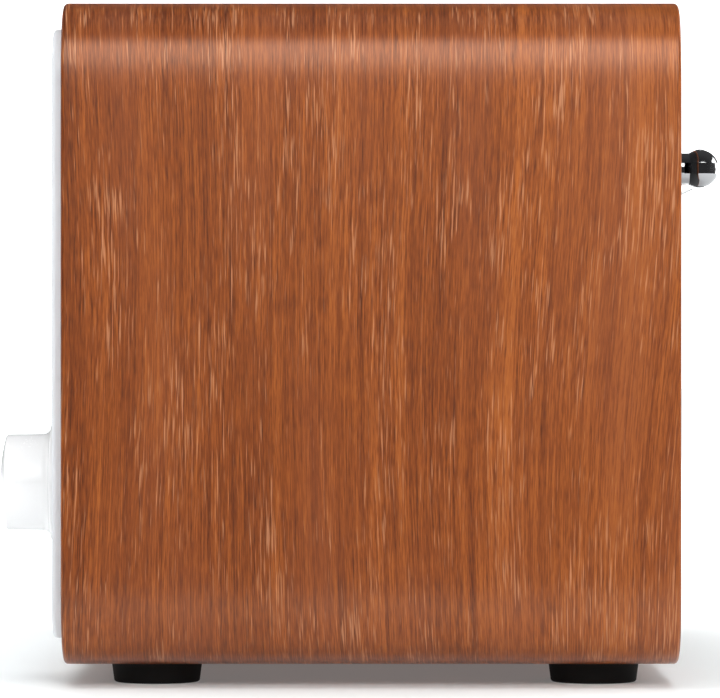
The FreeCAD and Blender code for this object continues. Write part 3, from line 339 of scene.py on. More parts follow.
# %% Finishes of the pieces inside
cone_paper = finish("cone_paper", srgb(46, 45, 46), 0.85, tone=0.2, grain_size=0.7 * MM,
                    relief=0.06 * MM)
surround_rubber = finish("surround_rubber", srgb(22, 22, 22), 0.5, tone=0.1)
spider_cloth = finish("spider_cloth", srgb(196, 142, 70), 0.8, tone=0.15, grain_size=0.4 * MM,
                      relief=0.08 * MM)
ferrite = finish("ferrite", srgb(52, 52, 54), 0.6, tone=0.15, grain_size=0.3 * MM)
foam = finish("gasket_foam", srgb(40, 40, 40), 0.95, tone=0.3, grain_size=0.5 * MM, relief=0.1 * MM)
sleeve_blue = finish("capacitor_sleeve", srgb(28, 34, 74), 0.28, tone=0.06)
wire_black = finish("wire_sleeve", srgb(34, 34, 36), 0.5, tone=0.1)
block_wood = finish("block_wood", srgb(196, 156, 112), 0.75, tone=0.16, tone_size=6 * MM,
                    grain_size=0.8 * MM, relief=0.05 * MM, stretch=(0.1, 1, 1))
copper = finish("wound_copper", (0.72, 0.32, 0.16), 0.32, metallic=1.0, tone=0.25, tone_size=2 * MM,
                grain_size=0.25 * MM, relief=0.08 * MM, stretch=(0.05, 1, 0.05))
print("all finishes", len(bpy.data.materials))

# %% [markdown]
# ## The veneer
#
# The cabinet is one strip of red-brown veneer wrapped round the board, with the grain running up
# the sides and over the top. Noise on plain coordinates would slice through the corners as through
# a solid block, so the sleeve carries its own map, called grain: how far a point is along the
# strip, and how far across it. Wood is then several noises on that map, each stretched along it:
# slow bands of tone, growth lines, fine fibres, dark pores and short pale flecks. Each layer's
# two numbers say how many marks it has in a metre, along the strip and across it.

# %% Veneer colours
deep_brown = srgb(82, 32, 8)
mid_brown = srgb(128, 60, 15)
warm_brown = srgb(170, 92, 34)
pore_brown = srgb(72, 30, 12)
pale_fleck = srgb(196, 134, 94)
rose_brown = srgb(128, 66, 40)
lacquer_tint = (1.0, 0.66, 0.50, 1)


def mixed(tree, share, first, second):
    """Blends two colours by a share."""
    node = add(tree, "ShaderNodeMix", {0: share, 6: first, 7: second}, data_type="RGBA")
    return node.outputs[2]


def weighted(tree, middle, *layers):
    """Adds noises to a middle value. Each layer is (noise, weight) and swings about nothing."""
    total = maths(tree, "ADD", 0.0, middle)
    for layer, weight in layers:
        swing = product(tree, difference(tree, layer, 0.5), weight)
        total = maths(tree, "ADD", total, swing)
    return total

# %% Veneer material
def veneer_material(name):
    """Layers of stretched noise on the strip's own map, under a satin lacquer."""
    material, tree, shader = new_material(name)
    strip = add(tree, "ShaderNodeAttribute", attribute_name="grain").outputs["Vector"]
    wander = noise(tree, stretched(tree, strip, 6, 11, 1), 1.0, 0.0)
    sway = product(tree, difference(tree, wander, 0.5), 16 * MM)
    shift = vector(tree, y=sway)
    place = add(tree, "ShaderNodeVectorMath", {0: strip, 1: shift}, operation="ADD").outputs[0]

    bands = noise(tree, stretched(tree, place, 2, 60, 1), 1.0, 3.0, 0.6)
    growth = noise(tree, stretched(tree, place, 5, 640, 1), 1.0, 3.0, 0.7)
    fibres = noise(tree, stretched(tree, place, 45, 2600, 1), 1.0, 3.0, 0.8)
    dashes = noise(tree, stretched(tree, place, 210, 3000, 1), 1.0, 2.0, 0.6)
    flecks = noise(tree, stretched(tree, place, 95, 2500, 1), 1.0, 2.0, 0.5)
    patches = noise(tree, stretched(tree, place, 20, 110, 1), 1.0, 2.0)
    rosy = noise(tree, stretched(tree, place, 7, 45, 1), 1.0, 2.0)

    tone = weighted(tree, 0.5, (bands, 0.5), (growth, 0.9), (fibres, 1.2), (dashes, 1.0))
    from_front = parts_of(tree, strip)["Y"]
    tone = maths(tree, "ADD", tone, remap(tree, from_front, 0.03, 0.14, -0.03, 0.10))
    colour = ramp(tree, tone, (0.18, deep_brown), (0.50, mid_brown), (0.82, warm_brown))
    rose_share = remap(tree, rosy, 0.45, 0.65, 0.0, 0.35)
    colour = mixed(tree, rose_share, colour, (*rose_brown, 1))
    pore_share = remap(tree, dashes, 0.60, 0.78, 0.0, 0.5)
    colour = mixed(tree, pore_share, colour, (*pore_brown, 1))
    fleck_limit = remap(tree, patches, 0.36, 0.64, 0.68, 0.52)
    above = difference(tree, flecks, fleck_limit)
    fleck_share = remap(tree, above, 0.0, 0.12, 0.0, 0.7)
    colour = mixed(tree, fleck_share, colour, (*pale_fleck, 1))
    tree.links.new(colour, shader.inputs["Base Color"])

    gloss = remap(tree, fibres, 0.3, 0.7, 0.34, 0.28)
    tree.links.new(gloss, shader.inputs["Roughness"])
    shader.inputs["Specular IOR Level"].default_value = 0.85
    shader.inputs["Specular Tint"].default_value = lacquer_tint
    height = difference(tree, fibres, product(tree, pore_share, 0.8))
    bump = add(tree, "ShaderNodeBump", {"Height": height, "Strength": 0.3, "Distance": 0.02 * MM})
    tree.links.new(bump.outputs[0], shader.inputs["Normal"])
    return material


veneer = veneer_material("red_brown_veneer")
print("veneer nodes", len(veneer.node_tree.nodes))

# %% [markdown]
# ## Geometry Nodes as a workshop
#
# Some parts follow a rule: a profile that runs round a path, or one bar repeated at a pitch. Each
# of those is a node tree with named sizes, like a jig that is set before use. The result is copied
# out as a plain mesh, because a file for other programs can't hold the tree.

# %% Tree helpers
def new_tree(name, **inputs):
    """A geometry tree with named inputs. Each input is (socket type, default)."""
    tree = bpy.data.node_groups.new(name, "GeometryNodeTree")
    tree.interface.new_socket("Geometry", in_out="OUTPUT", socket_type="NodeSocketGeometry")
    tree.interface.new_socket("Start", in_out="INPUT", socket_type="NodeSocketGeometry")
    for label, (kind, default) in inputs.items():
        socket = tree.interface.new_socket(label, in_out="INPUT", socket_type="NodeSocket" + kind)
        if default is not None:
            socket.default_value = default
    return tree, tree.nodes.new("NodeGroupInput").outputs


def finish_tree(tree, geometry, material):
    """Ends a tree with real geometry, smooth shading and its material."""
    real = add(tree, "GeometryNodeRealizeInstances", {0: geometry}).outputs[0]
    smooth = add(tree, "GeometryNodeSetShadeSmooth", {"Geometry": real}).outputs[0]
    last = add(tree, "GeometryNodeSetMaterial", {"Geometry": smooth, "Material": material}).outputs[0]
    add(tree, "NodeGroupOutput", {"Geometry": last})


def plain_copy(tree, name, start=None, **values):
    """Runs a tree and returns its result as an object with a plain mesh."""
    host = bpy.data.objects.new(name + "_host", start or bpy.data.meshes.new(name + "_start"))
    scene.collection.objects.link(host)
    modifier = host.modifiers.new("tree", "NODES")
    modifier.node_group = tree
    for item in tree.interface.items_tree:
        if item.in_out == "INPUT" and item.name in values:
            modifier[item.identifier] = values[item.name]
    graph = bpy.context.evaluated_depsgraph_get()
    mesh = bpy.data.meshes.new_from_object(
        host.evaluated_get(graph), preserve_all_data_layers=True, depsgraph=graph)
    bpy.data.objects.remove(host)
    piece = bpy.data.objects.new(name, mesh)
    scene.collection.objects.link(piece)
    print(name, len(mesh.polygons), "faces")
    return piece


def keep_flats_flat(piece):
    """Weights each corner's shading by its faces' areas, so that large flat faces look flat."""
    modifier = piece.modifiers.new("weighted", "WEIGHTED_NORMAL")
    modifier.weight = 100
    modifier.keep_sharp = True


def rounded_rectangle(tree, width, height, radius, steps):
    """A closed outline with round corners."""
    flat = add(tree, "GeometryNodeCurvePrimitiveQuadrilateral", {"Width": width, "Height": height})
    inputs = {"Curve": flat.outputs[0], "Radius": radius, "Count": steps}
    return add(tree, "GeometryNodeFilletCurve", inputs, mode="POLY").outputs[0]

# %% [markdown]
# ## The wood sleeve
#
# The real sleeve is a board bent round four corners and open at both ends. It could be cut out of
# a solid, but a sweep is closer to how it is made, and it gives the grain map for nothing: the
# length along the path is the way along the grain, and the length round the profile is the way
# across it. The path starts under the cabinet, where the real veneer has its joint.
#
# A bent board doesn't turn at once from flat to round, and a plain arc gives its highlight a hard
# lower edge. So each corner eases in: an arc's sine and cosine are raised to a power below one,
# which makes a squarer, longer corner through nearly the same place.

# %% Eased corners
def eased(tree, value, size, corner, squareness):
    """Moves one coordinate of a round corner onto a squarer one of the same reach."""
    flat = difference(tree, product(tree, size, 0.5), corner)
    beyond = difference(tree, maths(tree, "ABSOLUTE", value), flat)
    share = maths(tree, "DIVIDE", maths(tree, "MAXIMUM", beyond, 0.0), corner)
    power = maths(tree, "DIVIDE", 2.0, squareness)
    reach = product(tree, maths(tree, "POWER", share, power), corner)
    return product(tree, maths(tree, "ADD", flat, reach), maths(tree, "SIGN", value))

# %% Sleeve tree
sleeve_tree, sleeve_in = new_tree(
    "wood_sleeve",
    Width=("Float", 0.25), Height=("Float", 0.147), Depth=("Float", 0.136), Wall=("Float", 0.0058),
    Corner=("Float", 0.024), Squareness=("Float", 3.5), Edge=("Float", 0.0008),
    Finish=("Material", None),
)
corner, squareness = sleeve_in["Corner"], sleeve_in["Squareness"]
outline = rounded_rectangle(sleeve_tree, sleeve_in["Height"], sleeve_in["Width"], corner, 48)
spot = parts_of(sleeve_tree, add(sleeve_tree, "GeometryNodeInputPosition").outputs[0])
moved = vector(
    sleeve_tree,
    eased(sleeve_tree, spot["X"], sleeve_in["Height"], corner, squareness),
    eased(sleeve_tree, spot["Y"], sleeve_in["Width"], corner, squareness),
)
outline = add(sleeve_tree, "GeometryNodeSetPosition", {
    "Geometry": outline, "Position": moved}).outputs[0]
outline = add(sleeve_tree, "GeometryNodeTrimCurve", {"Curve": outline}).outputs[0]
outline = add(sleeve_tree, "GeometryNodeSetCurveNormal", {"Curve": outline}, mode="Z_UP").outputs[0]
section = rounded_rectangle(sleeve_tree, sleeve_in["Wall"], sleeve_in["Depth"], sleeve_in["Edge"], 4)
half_wall = product(sleeve_tree, sleeve_in["Wall"], -0.5)
section = add(sleeve_tree, "GeometryNodeTransform", {
    "Geometry": section, "Translation": vector(sleeve_tree, half_wall),
    "Rotation": (0, 0, math.pi)}).outputs[0]


def with_length(tree, curve, label):
    """Notes how far along its curve each point is."""
    length = add(tree, "GeometryNodeSplineParameter").outputs["Length"]
    note = tree.nodes.new("GeometryNodeCaptureAttribute")
    note.capture_items.new("FLOAT", label)
    tree.links.new(curve, note.inputs["Geometry"])
    tree.links.new(length, note.inputs[label])
    return note.outputs["Geometry"], note.outputs[label]


outline, along = with_length(sleeve_tree, outline, "along")
section, across = with_length(sleeve_tree, section, "across")
swept = add(sleeve_tree, "GeometryNodeCurveToMesh", {
    "Curve": outline, "Profile Curve": section}).outputs[0]
mapped = add(
    sleeve_tree, "GeometryNodeStoreNamedAttribute",
    {"Geometry": swept, "Name": "grain", "Value": vector(sleeve_tree, along, across)},
    data_type="FLOAT_VECTOR", domain="CORNER",
).outputs[0]
joined = add(sleeve_tree, "GeometryNodeMergeByDistance", {
    "Geometry": mapped, "Distance": 0.01 * MM}).outputs[0]
finish_tree(sleeve_tree, joined, sleeve_in["Finish"])

# %% Make the sleeve
wall = 5.8 * MM
corner_reach = 24.0 * MM
corner_squareness = 3.5
edge_round = 0.8 * MM
sleeve = plain_copy(
    sleeve_tree, "wood_sleeve",
    Width=cabinet_size.x, Height=cabinet_size.z, Depth=cabinet_size.y,
    Wall=wall, Corner=corner_reach, Squareness=corner_squareness, Edge=edge_round, Finish=veneer,
)
stand_up = Matrix.Rotation(math.radians(90), 4, "X") @ Matrix.Rotation(math.radians(-90), 4, "Z")
sleeve.data.transform(Matrix.Translation(cabinet_middle) @ stand_up)
keep_flats_flat(sleeve)
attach(sleeve, "cabinet")
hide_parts("cabinet_shell")

# %% [markdown]
# ## The screws
#
# Five sets of pan head screws hold the radio together. A screw is turned from wire: its head is
# pressed into a low dome with a cross in it, and its thread is rolled on, which leaves a groove
# that runs round the shank. One tree makes them all, since a set differs from the next only in
# its sizes. Where they sit, which way they point and how long they are comes from the CAD.

# %% Screw tree
screw_tree, screw_in = new_tree(
    "pan_head_screws",
    Head=("Float", 0.003), Crown=("Float", 0.0022), Shank=("Float", 0.0015),
    Length=("Float", 0.015), Cross=("Float", 0.0009), Depth=("Float", 0.001),
    Pitch=("Float", 0.0012), Finish=("Material", None),
)
head_steps = 32
shank_steps = 24


def lifted(tree, geometry, height):
    """Moves a shape up the screw's axis."""
    offset = vector(tree, z=height)
    return add(tree, "GeometryNodeTransform", {
        "Geometry": geometry, "Translation": offset}).outputs[0]


disc = add(screw_tree, "GeometryNodeMeshCylinder", {
    "Vertices": head_steps, "Fill Segments": 6, "Radius": screw_in["Head"],
    "Depth": screw_in["Crown"]}).outputs[0]
disc = lifted(screw_tree, disc, product(screw_tree, screw_in["Crown"], 0.5))
spot = parts_of(screw_tree, add(screw_tree, "GeometryNodeInputPosition").outputs[0])
level = vector(screw_tree, spot["X"], spot["Y"])
off_axis = add(screw_tree, "ShaderNodeVectorMath", {0: level}, operation="LENGTH").outputs["Value"]
share = maths(screw_tree, "DIVIDE", off_axis, screw_in["Head"])
dome = product(screw_tree, screw_in["Crown"], 0.55)
fall = product(screw_tree, maths(screw_tree, "POWER", share, 3.0), dome)
is_top = maths(screw_tree, "LESS_THAN", spot["Z"], product(screw_tree, screw_in["Crown"], 0.2))
head = add(screw_tree, "GeometryNodeSetPosition", {
    "Geometry": disc, "Selection": is_top, "Offset": vector(screw_tree, z=fall)}).outputs[0]

arm = product(screw_tree, screw_in["Head"], 1.24)
twice_depth = product(screw_tree, screw_in["Depth"], 2.0)
cut = add(screw_tree, "GeometryNodeMeshBoolean", {"Mesh 1": head}, operation="DIFFERENCE")
for length, width in ((arm, screw_in["Cross"]), (screw_in["Cross"], arm)):
    size = vector(screw_tree, length, width, twice_depth)
    bar = add(screw_tree, "GeometryNodeMeshCube", {"Size": size}).outputs[0]
    screw_tree.links.new(bar, cut.inputs["Mesh 2"])

root = product(screw_tree, screw_in["Shank"], 0.85)
below_head = difference(screw_tree, screw_in["Length"], screw_in["Crown"])
straight = difference(screw_tree, below_head, screw_in["Shank"])
shank = add(screw_tree, "GeometryNodeMeshCylinder", {
    "Vertices": shank_steps, "Radius": root, "Depth": straight}).outputs[0]
shank_middle = maths(screw_tree, "ADD", screw_in["Crown"], product(screw_tree, straight, 0.5))
tip = add(screw_tree, "GeometryNodeMeshCone", {
    "Vertices": shank_steps, "Radius Top": 0.0, "Radius Bottom": root,
    "Depth": screw_in["Shank"]}).outputs[0]
tip_start = maths(screw_tree, "ADD", screw_in["Crown"], straight)
helix = add(screw_tree, "GeometryNodeCurveSpiral", {
    "Resolution": 16, "Rotations": maths(screw_tree, "DIVIDE", straight, screw_in["Pitch"]),
    "Start Radius": root, "End Radius": root, "Height": straight}).outputs[0]
ridge = add(screw_tree, "GeometryNodeCurvePrimitiveCircle", {
    "Resolution": 3, "Radius": difference(screw_tree, screw_in["Shank"], root)}).outputs[0]
thread = add(screw_tree, "GeometryNodeCurveToMesh", {"Curve": helix, "Profile Curve": ridge}).outputs[0]
screw = screw_tree.nodes.new("GeometryNodeJoinGeometry")
for part in (
    cut.outputs[0],
    lifted(screw_tree, shank, shank_middle),
    lifted(screw_tree, tip, tip_start),
    lifted(screw_tree, thread, screw_in["Crown"]),
):
    screw_tree.links.new(part, screw.inputs[0])
every = add(screw_tree, "GeometryNodeInstanceOnPoints", {
    "Points": screw_in["Start"], "Instance": screw.outputs[0]}).outputs[0]
finish_tree(screw_tree, every, screw_in["Finish"])

# %% Find the screws in the CAD
def loose_parts(mesh):
    """The points of each separate shell of a mesh."""
    shape = bmesh.new()
    shape.from_mesh(mesh)
    bmesh.ops.remove_doubles(shape, verts=shape.verts[:], dist=0.001 * MM)
    waiting = set(shape.verts)
    while waiting:
        part = [waiting.pop()]
        for point in part:
            joined_on = {edge.other_vert(point) for edge in point.link_edges} & waiting
            waiting -= joined_on
            part.extend(joined_on)
        yield [point.co.copy() for point in part]
    shape.free()


def screw_places(node):
    """Groups a node's screws by the way they point and their length: {(way, length): [tops]}."""
    groups = {}
    for points in loose_parts(cad[node].data):
        low = Vector([min(p[i] for p in points) for i in range(3)])
        high = Vector([max(p[i] for p in points) for i in range(3)])
        size, middle = high - low, (low + high) / 2
        axis = min(range(3), key=lambda i: abs(size[i - 1] - size[i - 2]))
        widest = size[axis - 1] / 2
        rim = [p[axis] for p in points if abs(p[axis - 1] - middle[axis - 1]) > 0.9 * widest]
        way = Vector()
        way[axis] = 1 if sum(rim) / len(rim) < middle[axis] else -1
        key = (tuple(way), round(size[axis] / MM, 2))
        groups.setdefault(key, []).append(middle - way * size[axis] / 2)
    return groups

# %% Make the screws
wood_screw = {"Head": 3.0 * MM, "Crown": 2.2 * MM, "Shank": 1.5 * MM}
machine_screw = {"Head": 2.5 * MM, "Crown": 1.8 * MM, "Shank": 1.2 * MM}
screw_sets = {
    "rear_panel_screws": (wood_screw, black_steel, "black_steel"),
    "front_panel_screws": (wood_screw, zinc, "zinc_steel"),
    "foot_screws": (wood_screw, zinc, "zinc_steel"),
    "speaker_screws": (machine_screw, zinc, "zinc_steel"),
    "board_screws": (machine_screw, zinc, "zinc_steel"),
}
for node, (kind, material, slot_name) in screw_sets.items():
    whole_set = bmesh.new()
    for (way, length), tops in screw_places(node).items():
        turn = Vector((0, 0, 1)).rotation_difference(Vector(way)).to_matrix().to_4x4()
        points = bpy.data.meshes.new(node + "_points")
        points.from_pydata([turn.inverted() @ top for top in tops], [], [])
        some = plain_copy(
            screw_tree, node + "_some", points, Length=length * MM, Finish=material, **kind)
        some.data.transform(turn)
        whole_set.from_mesh(some.data)
        bpy.data.objects.remove(some)
        print(node, way, length, "mm long,", len(tops), "screws")
    mesh = bpy.data.meshes.new("pan_head_" + node)
    whole_set.to_mesh(mesh)
    whole_set.free()
    mesh.materials.append(material)
    screws = bpy.data.objects.new("pan_head_" + node, mesh)
    scene.collection.objects.link(screws)
    mesh.shade_smooth()
    mesh.set_sharp_from_angle(angle=math.radians(40))
    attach(screws, "cabinet")
    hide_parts(node)

# %% [markdown]
# ## The grille
#
# A round frame with level slats lets the sound out and keeps fingers off the cloth. Every slat is
# as long as the circle is wide at its height, which is a rule, so a tree works the lengths out.
# The slats' rounded edges are what makes a row of them glint. Two upright ribs behind them stop
# them from bending.

# %% Grille tree
grille_tree, grille_in = new_tree(
    "slatted_grille",
    Radius=("Float", 0.05), Rim=("Float", 0.003), Thickness=("Float", 0.0018),
    Pitch=("Float", 0.0041), Slot=("Float", 0.0022), Count=("Int", 22),
    Rib=("Float", 0.0024), Finish=("Material", None),
)


def swept_bars(tree, points, line, scale, profile):
    """Sweeps a profile along a copy of a line at every point."""
    placed = add(tree, "GeometryNodeInstanceOnPoints", {
        "Points": points, "Instance": line, "Scale": scale}).outputs[0]
    lines = add(tree, "GeometryNodeRealizeInstances", {0: placed}).outputs[0]
    lines = add(tree, "GeometryNodeSetCurveNormal", {"Curve": lines}, mode="Z_UP").outputs[0]
    return add(tree, "GeometryNodeCurveToMesh", {
        "Curve": lines, "Profile Curve": profile, "Fill Caps": True}).outputs[0]


def chord(tree, reach, height):
    """How wide a circle is at a height."""
    squared = difference(tree, product(tree, reach, reach), product(tree, height, height))
    return product(tree, maths(tree, "SQRT", squared), 2.0)


reach = difference(grille_tree, grille_in["Radius"], product(grille_tree, grille_in["Rim"], 0.6))
last_step = difference(grille_tree, grille_in["Count"], 1.0)
first_height = product(grille_tree, product(grille_tree, last_step, -0.5), grille_in["Pitch"])
heights = add(grille_tree, "GeometryNodeMeshLine", {
    "Count": grille_in["Count"], "Start Location": vector(grille_tree, y=first_height),
    "Offset": vector(grille_tree, y=grille_in["Pitch"])}).outputs[0]
height = parts_of(grille_tree, add(grille_tree, "GeometryNodeInputPosition").outputs[0])["Y"]
level_line = add(grille_tree, "GeometryNodeCurvePrimitiveLine", {
    "Start": (-0.5, 0, 0), "End": (0.5, 0, 0)}).outputs[0]
slat_scale = vector(grille_tree, chord(grille_tree, reach, height), 1.0, 1.0)
slat_height = difference(grille_tree, grille_in["Pitch"], grille_in["Slot"])
slat = rounded_rectangle(
    grille_tree, slat_height, grille_in["Thickness"], product(grille_tree, slat_height, 0.3), 4)
slats = swept_bars(grille_tree, heights, level_line, slat_scale, slat)

third = maths(grille_tree, "DIVIDE", grille_in["Radius"], 3.0)
half_depth = product(grille_tree, grille_in["Thickness"], 0.5)
first_rib = vector(
    grille_tree, product(grille_tree, third, -1.0), z=product(grille_tree, half_depth, -0.5))
rib_places = add(grille_tree, "GeometryNodeMeshLine", {
    "Count": 2, "Start Location": first_rib,
    "Offset": vector(grille_tree, product(grille_tree, third, 2.0))}).outputs[0]
upright_line = add(grille_tree, "GeometryNodeCurvePrimitiveLine", {
    "Start": (0, -0.5, 0), "End": (0, 0.5, 0)}).outputs[0]
rib_scale = vector(grille_tree, 1.0, chord(grille_tree, reach, third), 1.0)
rib = add(grille_tree, "GeometryNodeCurvePrimitiveQuadrilateral", {
    "Width": grille_in["Rib"], "Height": half_depth}).outputs[0]
ribs = swept_bars(grille_tree, rib_places, upright_line, rib_scale, rib)

rim_middle = difference(grille_tree, grille_in["Radius"], product(grille_tree, grille_in["Rim"], 0.5))
circle = add(grille_tree, "GeometryNodeCurvePrimitiveCircle", {
    "Resolution": 128, "Radius": rim_middle}).outputs[0]
circle = add(grille_tree, "GeometryNodeSetCurveNormal", {"Curve": circle}, mode="Z_UP").outputs[0]
rim_section = rounded_rectangle(
    grille_tree, grille_in["Rim"], grille_in["Thickness"],
    product(grille_tree, grille_in["Thickness"], 0.3), 4)
rim = add(grille_tree, "GeometryNodeCurveToMesh", {
    "Curve": circle, "Profile Curve": rim_section}).outputs[0]
whole = grille_tree.nodes.new("GeometryNodeJoinGeometry")
for part in (slats, ribs, rim):
    grille_tree.links.new(part, whole.inputs[0])
finish_tree(grille_tree, whole.outputs[0], grille_in["Finish"])

# %% Make the grille
grille_low, grille_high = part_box("speaker_grille")
grille_middle = (grille_low + grille_high) / 2
grille = plain_copy(
    grille_tree, "slatted_grille",
    Radius=(grille_high.x - grille_low.x) / 2, Rim=3.0 * MM, Thickness=grille_high.y - grille_low.y,
    Pitch=4.1 * MM, Slot=2.2 * MM, Count=22, Rib=2.4 * MM, Finish=grille_white,
)
grille.data.transform(Matrix.Translation(grille_middle) @ Matrix.Rotation(math.radians(90), 4, "X"))
keep_flats_flat(grille)
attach(grille, "cabinet")
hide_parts("speaker_grille")

# %% [markdown]
# ## The cloth behind the grille
#
# A disc of open black weave hides the loudspeaker. At this size the threads are better as a
# material than as geometry, but the disc itself is a real sheet, stretched flat behind the slats.

# %% Cloth material and disc
def woven_black(name, thread=0.6 * MM):
    """Two crossed sets of threads on flat coordinates."""
    material, tree, shader = new_material(name)
    place = add(tree, "ShaderNodeTexCoord").outputs["Object"]
    part = parts_of(tree, place)
    turns = 2 * math.pi / thread
    weft = maths(tree, "SINE", product(tree, part["X"], turns))
    warp = maths(tree, "SINE", product(tree, part["Z"], turns))
    height = remap(tree, product(tree, weft, warp), -1.0, 1.0)
    fuzz = noise(tree, place, 1 / thread, 3.0)
    # Colour follows the weave's relief, lighter on its crests and darker in its low places: painted
    # shade, with a fuzz of random tone mixed in.
    painted_shade_and_fuzz = maths(tree, "ADD", product(tree, height, 0.7), product(tree, fuzz, 0.3))
    colour = ramp(tree, painted_shade_and_fuzz, (0.1, srgb(12, 12, 13)), (0.9, srgb(44, 44, 47)))
    tree.links.new(colour, shader.inputs["Base Color"])
    bump = add(tree, "ShaderNodeBump", {"Height": height, "Strength": 0.8, "Distance": 0.1 * MM})
    tree.links.new(bump.outputs[0], shader.inputs["Normal"])
    shader.inputs["Roughness"].default_value = 0.9
    shader.inputs["Sheen Weight"].default_value = 0.3
    return material


def lathe(name, profile, centre, steps=96):
    """Turns a profile of (radius, distance back) round an axis that runs front to back."""
    shape = bmesh.new()
    rings = []
    for radius, back in profile:
        if radius == 0:
            rings.append([shape.verts.new((centre.x, centre.y + back, centre.z))])
            continue
        ring = []
        for k in range(steps):
            turn = 2 * math.pi * k / steps
            side, rise = radius * math.cos(turn), radius * math.sin(turn)
            ring.append(shape.verts.new((centre.x + side, centre.y + back, centre.z + rise)))
        rings.append(ring)
    for inner, outer in zip(rings, rings[1:]):
        for k in range(steps):
            after = (k + 1) % steps
            corners = [inner[k % len(inner)], outer[k % len(outer)],
                       outer[after % len(outer)], inner[after % len(inner)]]
            shape.faces.new(list(dict.fromkeys(corners)))
    bmesh.ops.recalc_face_normals(shape, faces=shape.faces[:])
    mesh = bpy.data.meshes.new(name)
    shape.to_mesh(mesh)
    shape.free()
    mesh.shade_smooth()
    piece = bpy.data.objects.new(name, mesh)
    scene.collection.objects.link(piece)
    return piece


cloth_low, cloth_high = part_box("grille_cloth")
cloth_middle = (cloth_low + cloth_high) / 2
cloth_radius = (cloth_high.x - cloth_low.x) / 2
cloth_half = (cloth_high.y - cloth_low.y) / 2
cloth_profile = [
    (0, -cloth_half), (cloth_radius, -cloth_half), (cloth_radius, cloth_half), (0, cloth_half)]
cloth = lathe("grille_weave", cloth_profile, cloth_middle)
cloth.data.materials.append(woven_black("grille_weave"))
keep_flats_flat(cloth)
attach(cloth, "cabinet")
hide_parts("grille_cloth")

# %% [markdown]
# ## The display
#
# Behind a smoked window sits a dark module with bar digits, each made of seven strokes. Which
# strokes are lit for a digit is the only table needed; their places follow from the digit's size.

# %% Display finishes
def smoked_window(name):
    """Tinted acrylic that light passes through, with a faint waviness."""
    material, tree, shader = new_material(name)
    shader.inputs["Base Color"].default_value = (*srgb(120, 122, 128), 1)
    shader.inputs["Transmission Weight"].default_value = 0.9
    shader.inputs["Roughness"].default_value = 0.04
    place = add(tree, "ShaderNodeTexCoord").outputs["Object"]
    haze = noise(tree, place, 60.0, 2.0)
    bump = add(tree, "ShaderNodeBump", {"Height": haze, "Strength": 0.05, "Distance": 0.01 * MM})
    tree.links.new(bump.outputs[0], shader.inputs["Normal"])
    return material


display_dark = finish("display_dark", srgb(24, 27, 33), 0.35, tone=0.08, grain_size=0.3 * MM)
digit_light = finish("digit_light", srgb(214, 226, 232), 0.5, tone=0.02)
digit_shader = digit_light.node_tree.nodes["Principled BSDF"]
digit_shader.inputs["Emission Color"].default_value = (0.72, 0.86, 1.0, 1)
digit_shader.inputs["Emission Strength"].default_value = 1.6

# %% Bar digits
strokes_lit = {"1": "bc", "0": "abcdef", "4": "bcfg", "2": "abdeg"}
digit_width = 6.4 * MM
digit_height = 12.5 * MM
stroke_width = 1.25 * MM
digit_step = 10.2 * MM
digit_relief = 0.15 * MM
colon_space = 3.2 * MM
colon_half_gap = 2.4 * MM


def stroke_bar(start, end):
    """A bar with pointed ends between two corners of a digit, as flat points."""
    along = (end - start).normalized()
    side = Vector((-along.y, along.x)) * stroke_width / 2
    gap = along * stroke_width * 0.12
    tip = along * stroke_width / 2
    first, last = start + gap, end - gap
    return [first, first + tip + side, last - tip + side,
            last, last - tip - side, first + tip - side]


def digit_bars(digit, left, low):
    """The bars of one digit. A stroke runs between two of six corners: t, m, b and l, r."""
    ends = {"a": "tl tr", "b": "tr mr", "c": "mr br", "d": "bl br", "e": "ml bl", "f": "tl ml",
            "g": "ml mr"}
    across = {"l": 0, "r": digit_width}
    up = {"t": digit_height, "m": digit_height / 2, "b": 0}
    bars = []
    for stroke in strokes_lit[digit]:
        start, end = (Vector((left + across[c[1]], low + up[c[0]])) for c in ends[stroke].split())
        bars.append(stroke_bar(start, end))
    return bars


display_low, display_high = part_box("display_module")
display_middle = (display_low + display_high) / 2
bars = []
row_left = display_middle.x - (3 * digit_step + digit_width + stroke_width) / 2
row_low = display_middle.z - digit_height / 2
for k, digit in enumerate("1042"):
    left = row_left + k * digit_step + (colon_space if k > 1 else 0)
    bars += digit_bars(digit, left, row_low)
colon_x = row_left + 1.5 * digit_step + (digit_width + colon_space) / 2
for offset in (-colon_half_gap, colon_half_gap):
    half = stroke_width / 2
    bars.append([Vector((colon_x + x * half, display_middle.z + offset + z * half))
                 for x, z in ((-1, -1), (1, -1), (1, 1), (-1, 1))])

shape = bmesh.new()
for bar in bars:
    face = shape.faces.new([shape.verts.new((p.x, display_low.y, p.y)) for p in bar])
    face.normal_update()
    raised = bmesh.ops.extrude_face_region(shape, geom=[face])["geom"]
    bmesh.ops.translate(shape, vec=(0, -digit_relief, 0),
                        verts=[v for v in raised if isinstance(v, bmesh.types.BMVert)])
bmesh.ops.recalc_face_normals(shape, faces=shape.faces[:])
digits_mesh = bpy.data.meshes.new("clock_digits")
shape.to_mesh(digits_mesh)
shape.free()
digits = bpy.data.objects.new("clock_digits", digits_mesh)
scene.collection.objects.link(digits)
digits.data.materials.append(digit_light)
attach(digits, "cabinet")
print("digit bars", len(bars))

# %% [markdown]
# ## Circuit boards
#
# A board is a green sheet with thin copper tracks under its lacquer. The edges of blocky cells
# stand in for tracks: they turn square corners, as real ones do.

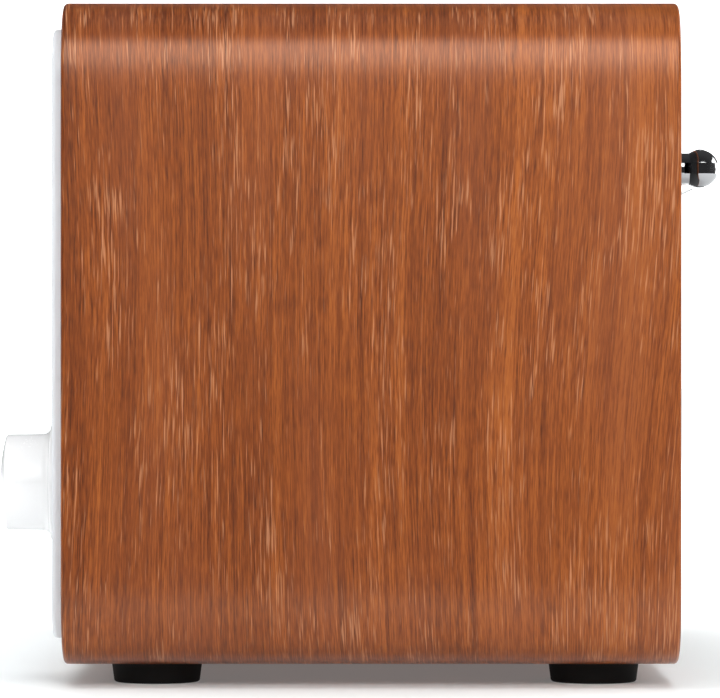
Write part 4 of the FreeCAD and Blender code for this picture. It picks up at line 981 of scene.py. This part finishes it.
# %% Board material
def board_green(name):
    """Green lacquer over a pattern of square-cornered tracks."""
    material, tree, shader = new_material(name)
    place = add(tree, "ShaderNodeTexCoord").outputs["Object"]
    cells = add(tree, "ShaderNodeTexVoronoi", {"Vector": place, "Scale": 260.0},
                feature="F1", distance="CHEBYCHEV").outputs["Distance"]
    lines = maths(tree, "PINGPONG", cells, 0.12)
    track = remap(tree, lines, 0.02, 0.05, 1.0, 0.0)
    colour = mixed(tree, track, (*srgb(14, 74, 44), 1), (*srgb(38, 112, 66), 1))
    tree.links.new(colour, shader.inputs["Base Color"])
    bump = add(tree, "ShaderNodeBump", {"Height": track, "Strength": 0.4, "Distance": 0.04 * MM})
    tree.links.new(bump.outputs[0], shader.inputs["Normal"])
    shader.inputs["Roughness"].default_value = 0.32
    return material


board = board_green("board_green")

# %% [markdown]
# ## Finishes for the CAD parts
#
# The rest of the frame has the right shapes already. Each node takes its finish from this list.

# %% Give each node its finish
finishes = {
    panel_white: ["front_panel"],
    knob_white: ["tuning_knob", "power_button", "source_button", "menu_button", "preset_button"],
    grille_white: ["speaker_grille"],
    rubber: ["foot_front_left", "foot_front_right", "foot_rear_left", "foot_rear_right"],
    textured_black: ["rear_panel", "bass_port", "audio_jacks", "dc_jack", "antenna_bushing",
                     "push_switches", "encoder_plunger"],
    chrome: ["antenna_base", "antenna_pivot_pin", "antenna_knuckle", "antenna_tube_1", "antenna_tube_2",
             "antenna_tube_3", "antenna_rod_4", "antenna_tip"],
    zinc: ["foot_screws", "front_panel_screws", "speaker_screws", "board_screws", "speaker_top_plate",
           "speaker_yoke", "encoder_body", "encoder_nut", "antenna_nut", "tuner_module"],
    black_steel: ["speaker_basket", "rear_panel_screws"],
    cone_paper: ["speaker_cone", "speaker_dust_cap"],
    surround_rubber: ["speaker_surround"],
    spider_cloth: ["speaker_spider"],
    copper: ["voice_coil"],
    ferrite: ["speaker_magnet"],
    foam: ["speaker_gasket"],
    board: ["main_board", "control_board"],
    aluminium: ["amplifier_heatsink", "encoder_shaft"],
    sleeve_blue: ["filter_capacitors"],
    brass: ["board_standoffs"],
    wire_black: ["speaker_lead", "antenna_lead", "control_cable"],
    block_wood: ["front_corner_blocks", "rear_corner_blocks"],
    smoked_window("smoked_window"): ["display_window"],
    display_dark: ["display_module"],
    veneer: ["cabinet_shell"],
    cloth.data.materials[0]: ["grille_cloth"],
}
for material, nodes in finishes.items():
    for node in nodes:
        for place in cad[node].material_slots:
            place.material = material
missing = set(cad) - {node for nodes in finishes.values() for node in nodes}
print("nodes with no finish", sorted(missing))
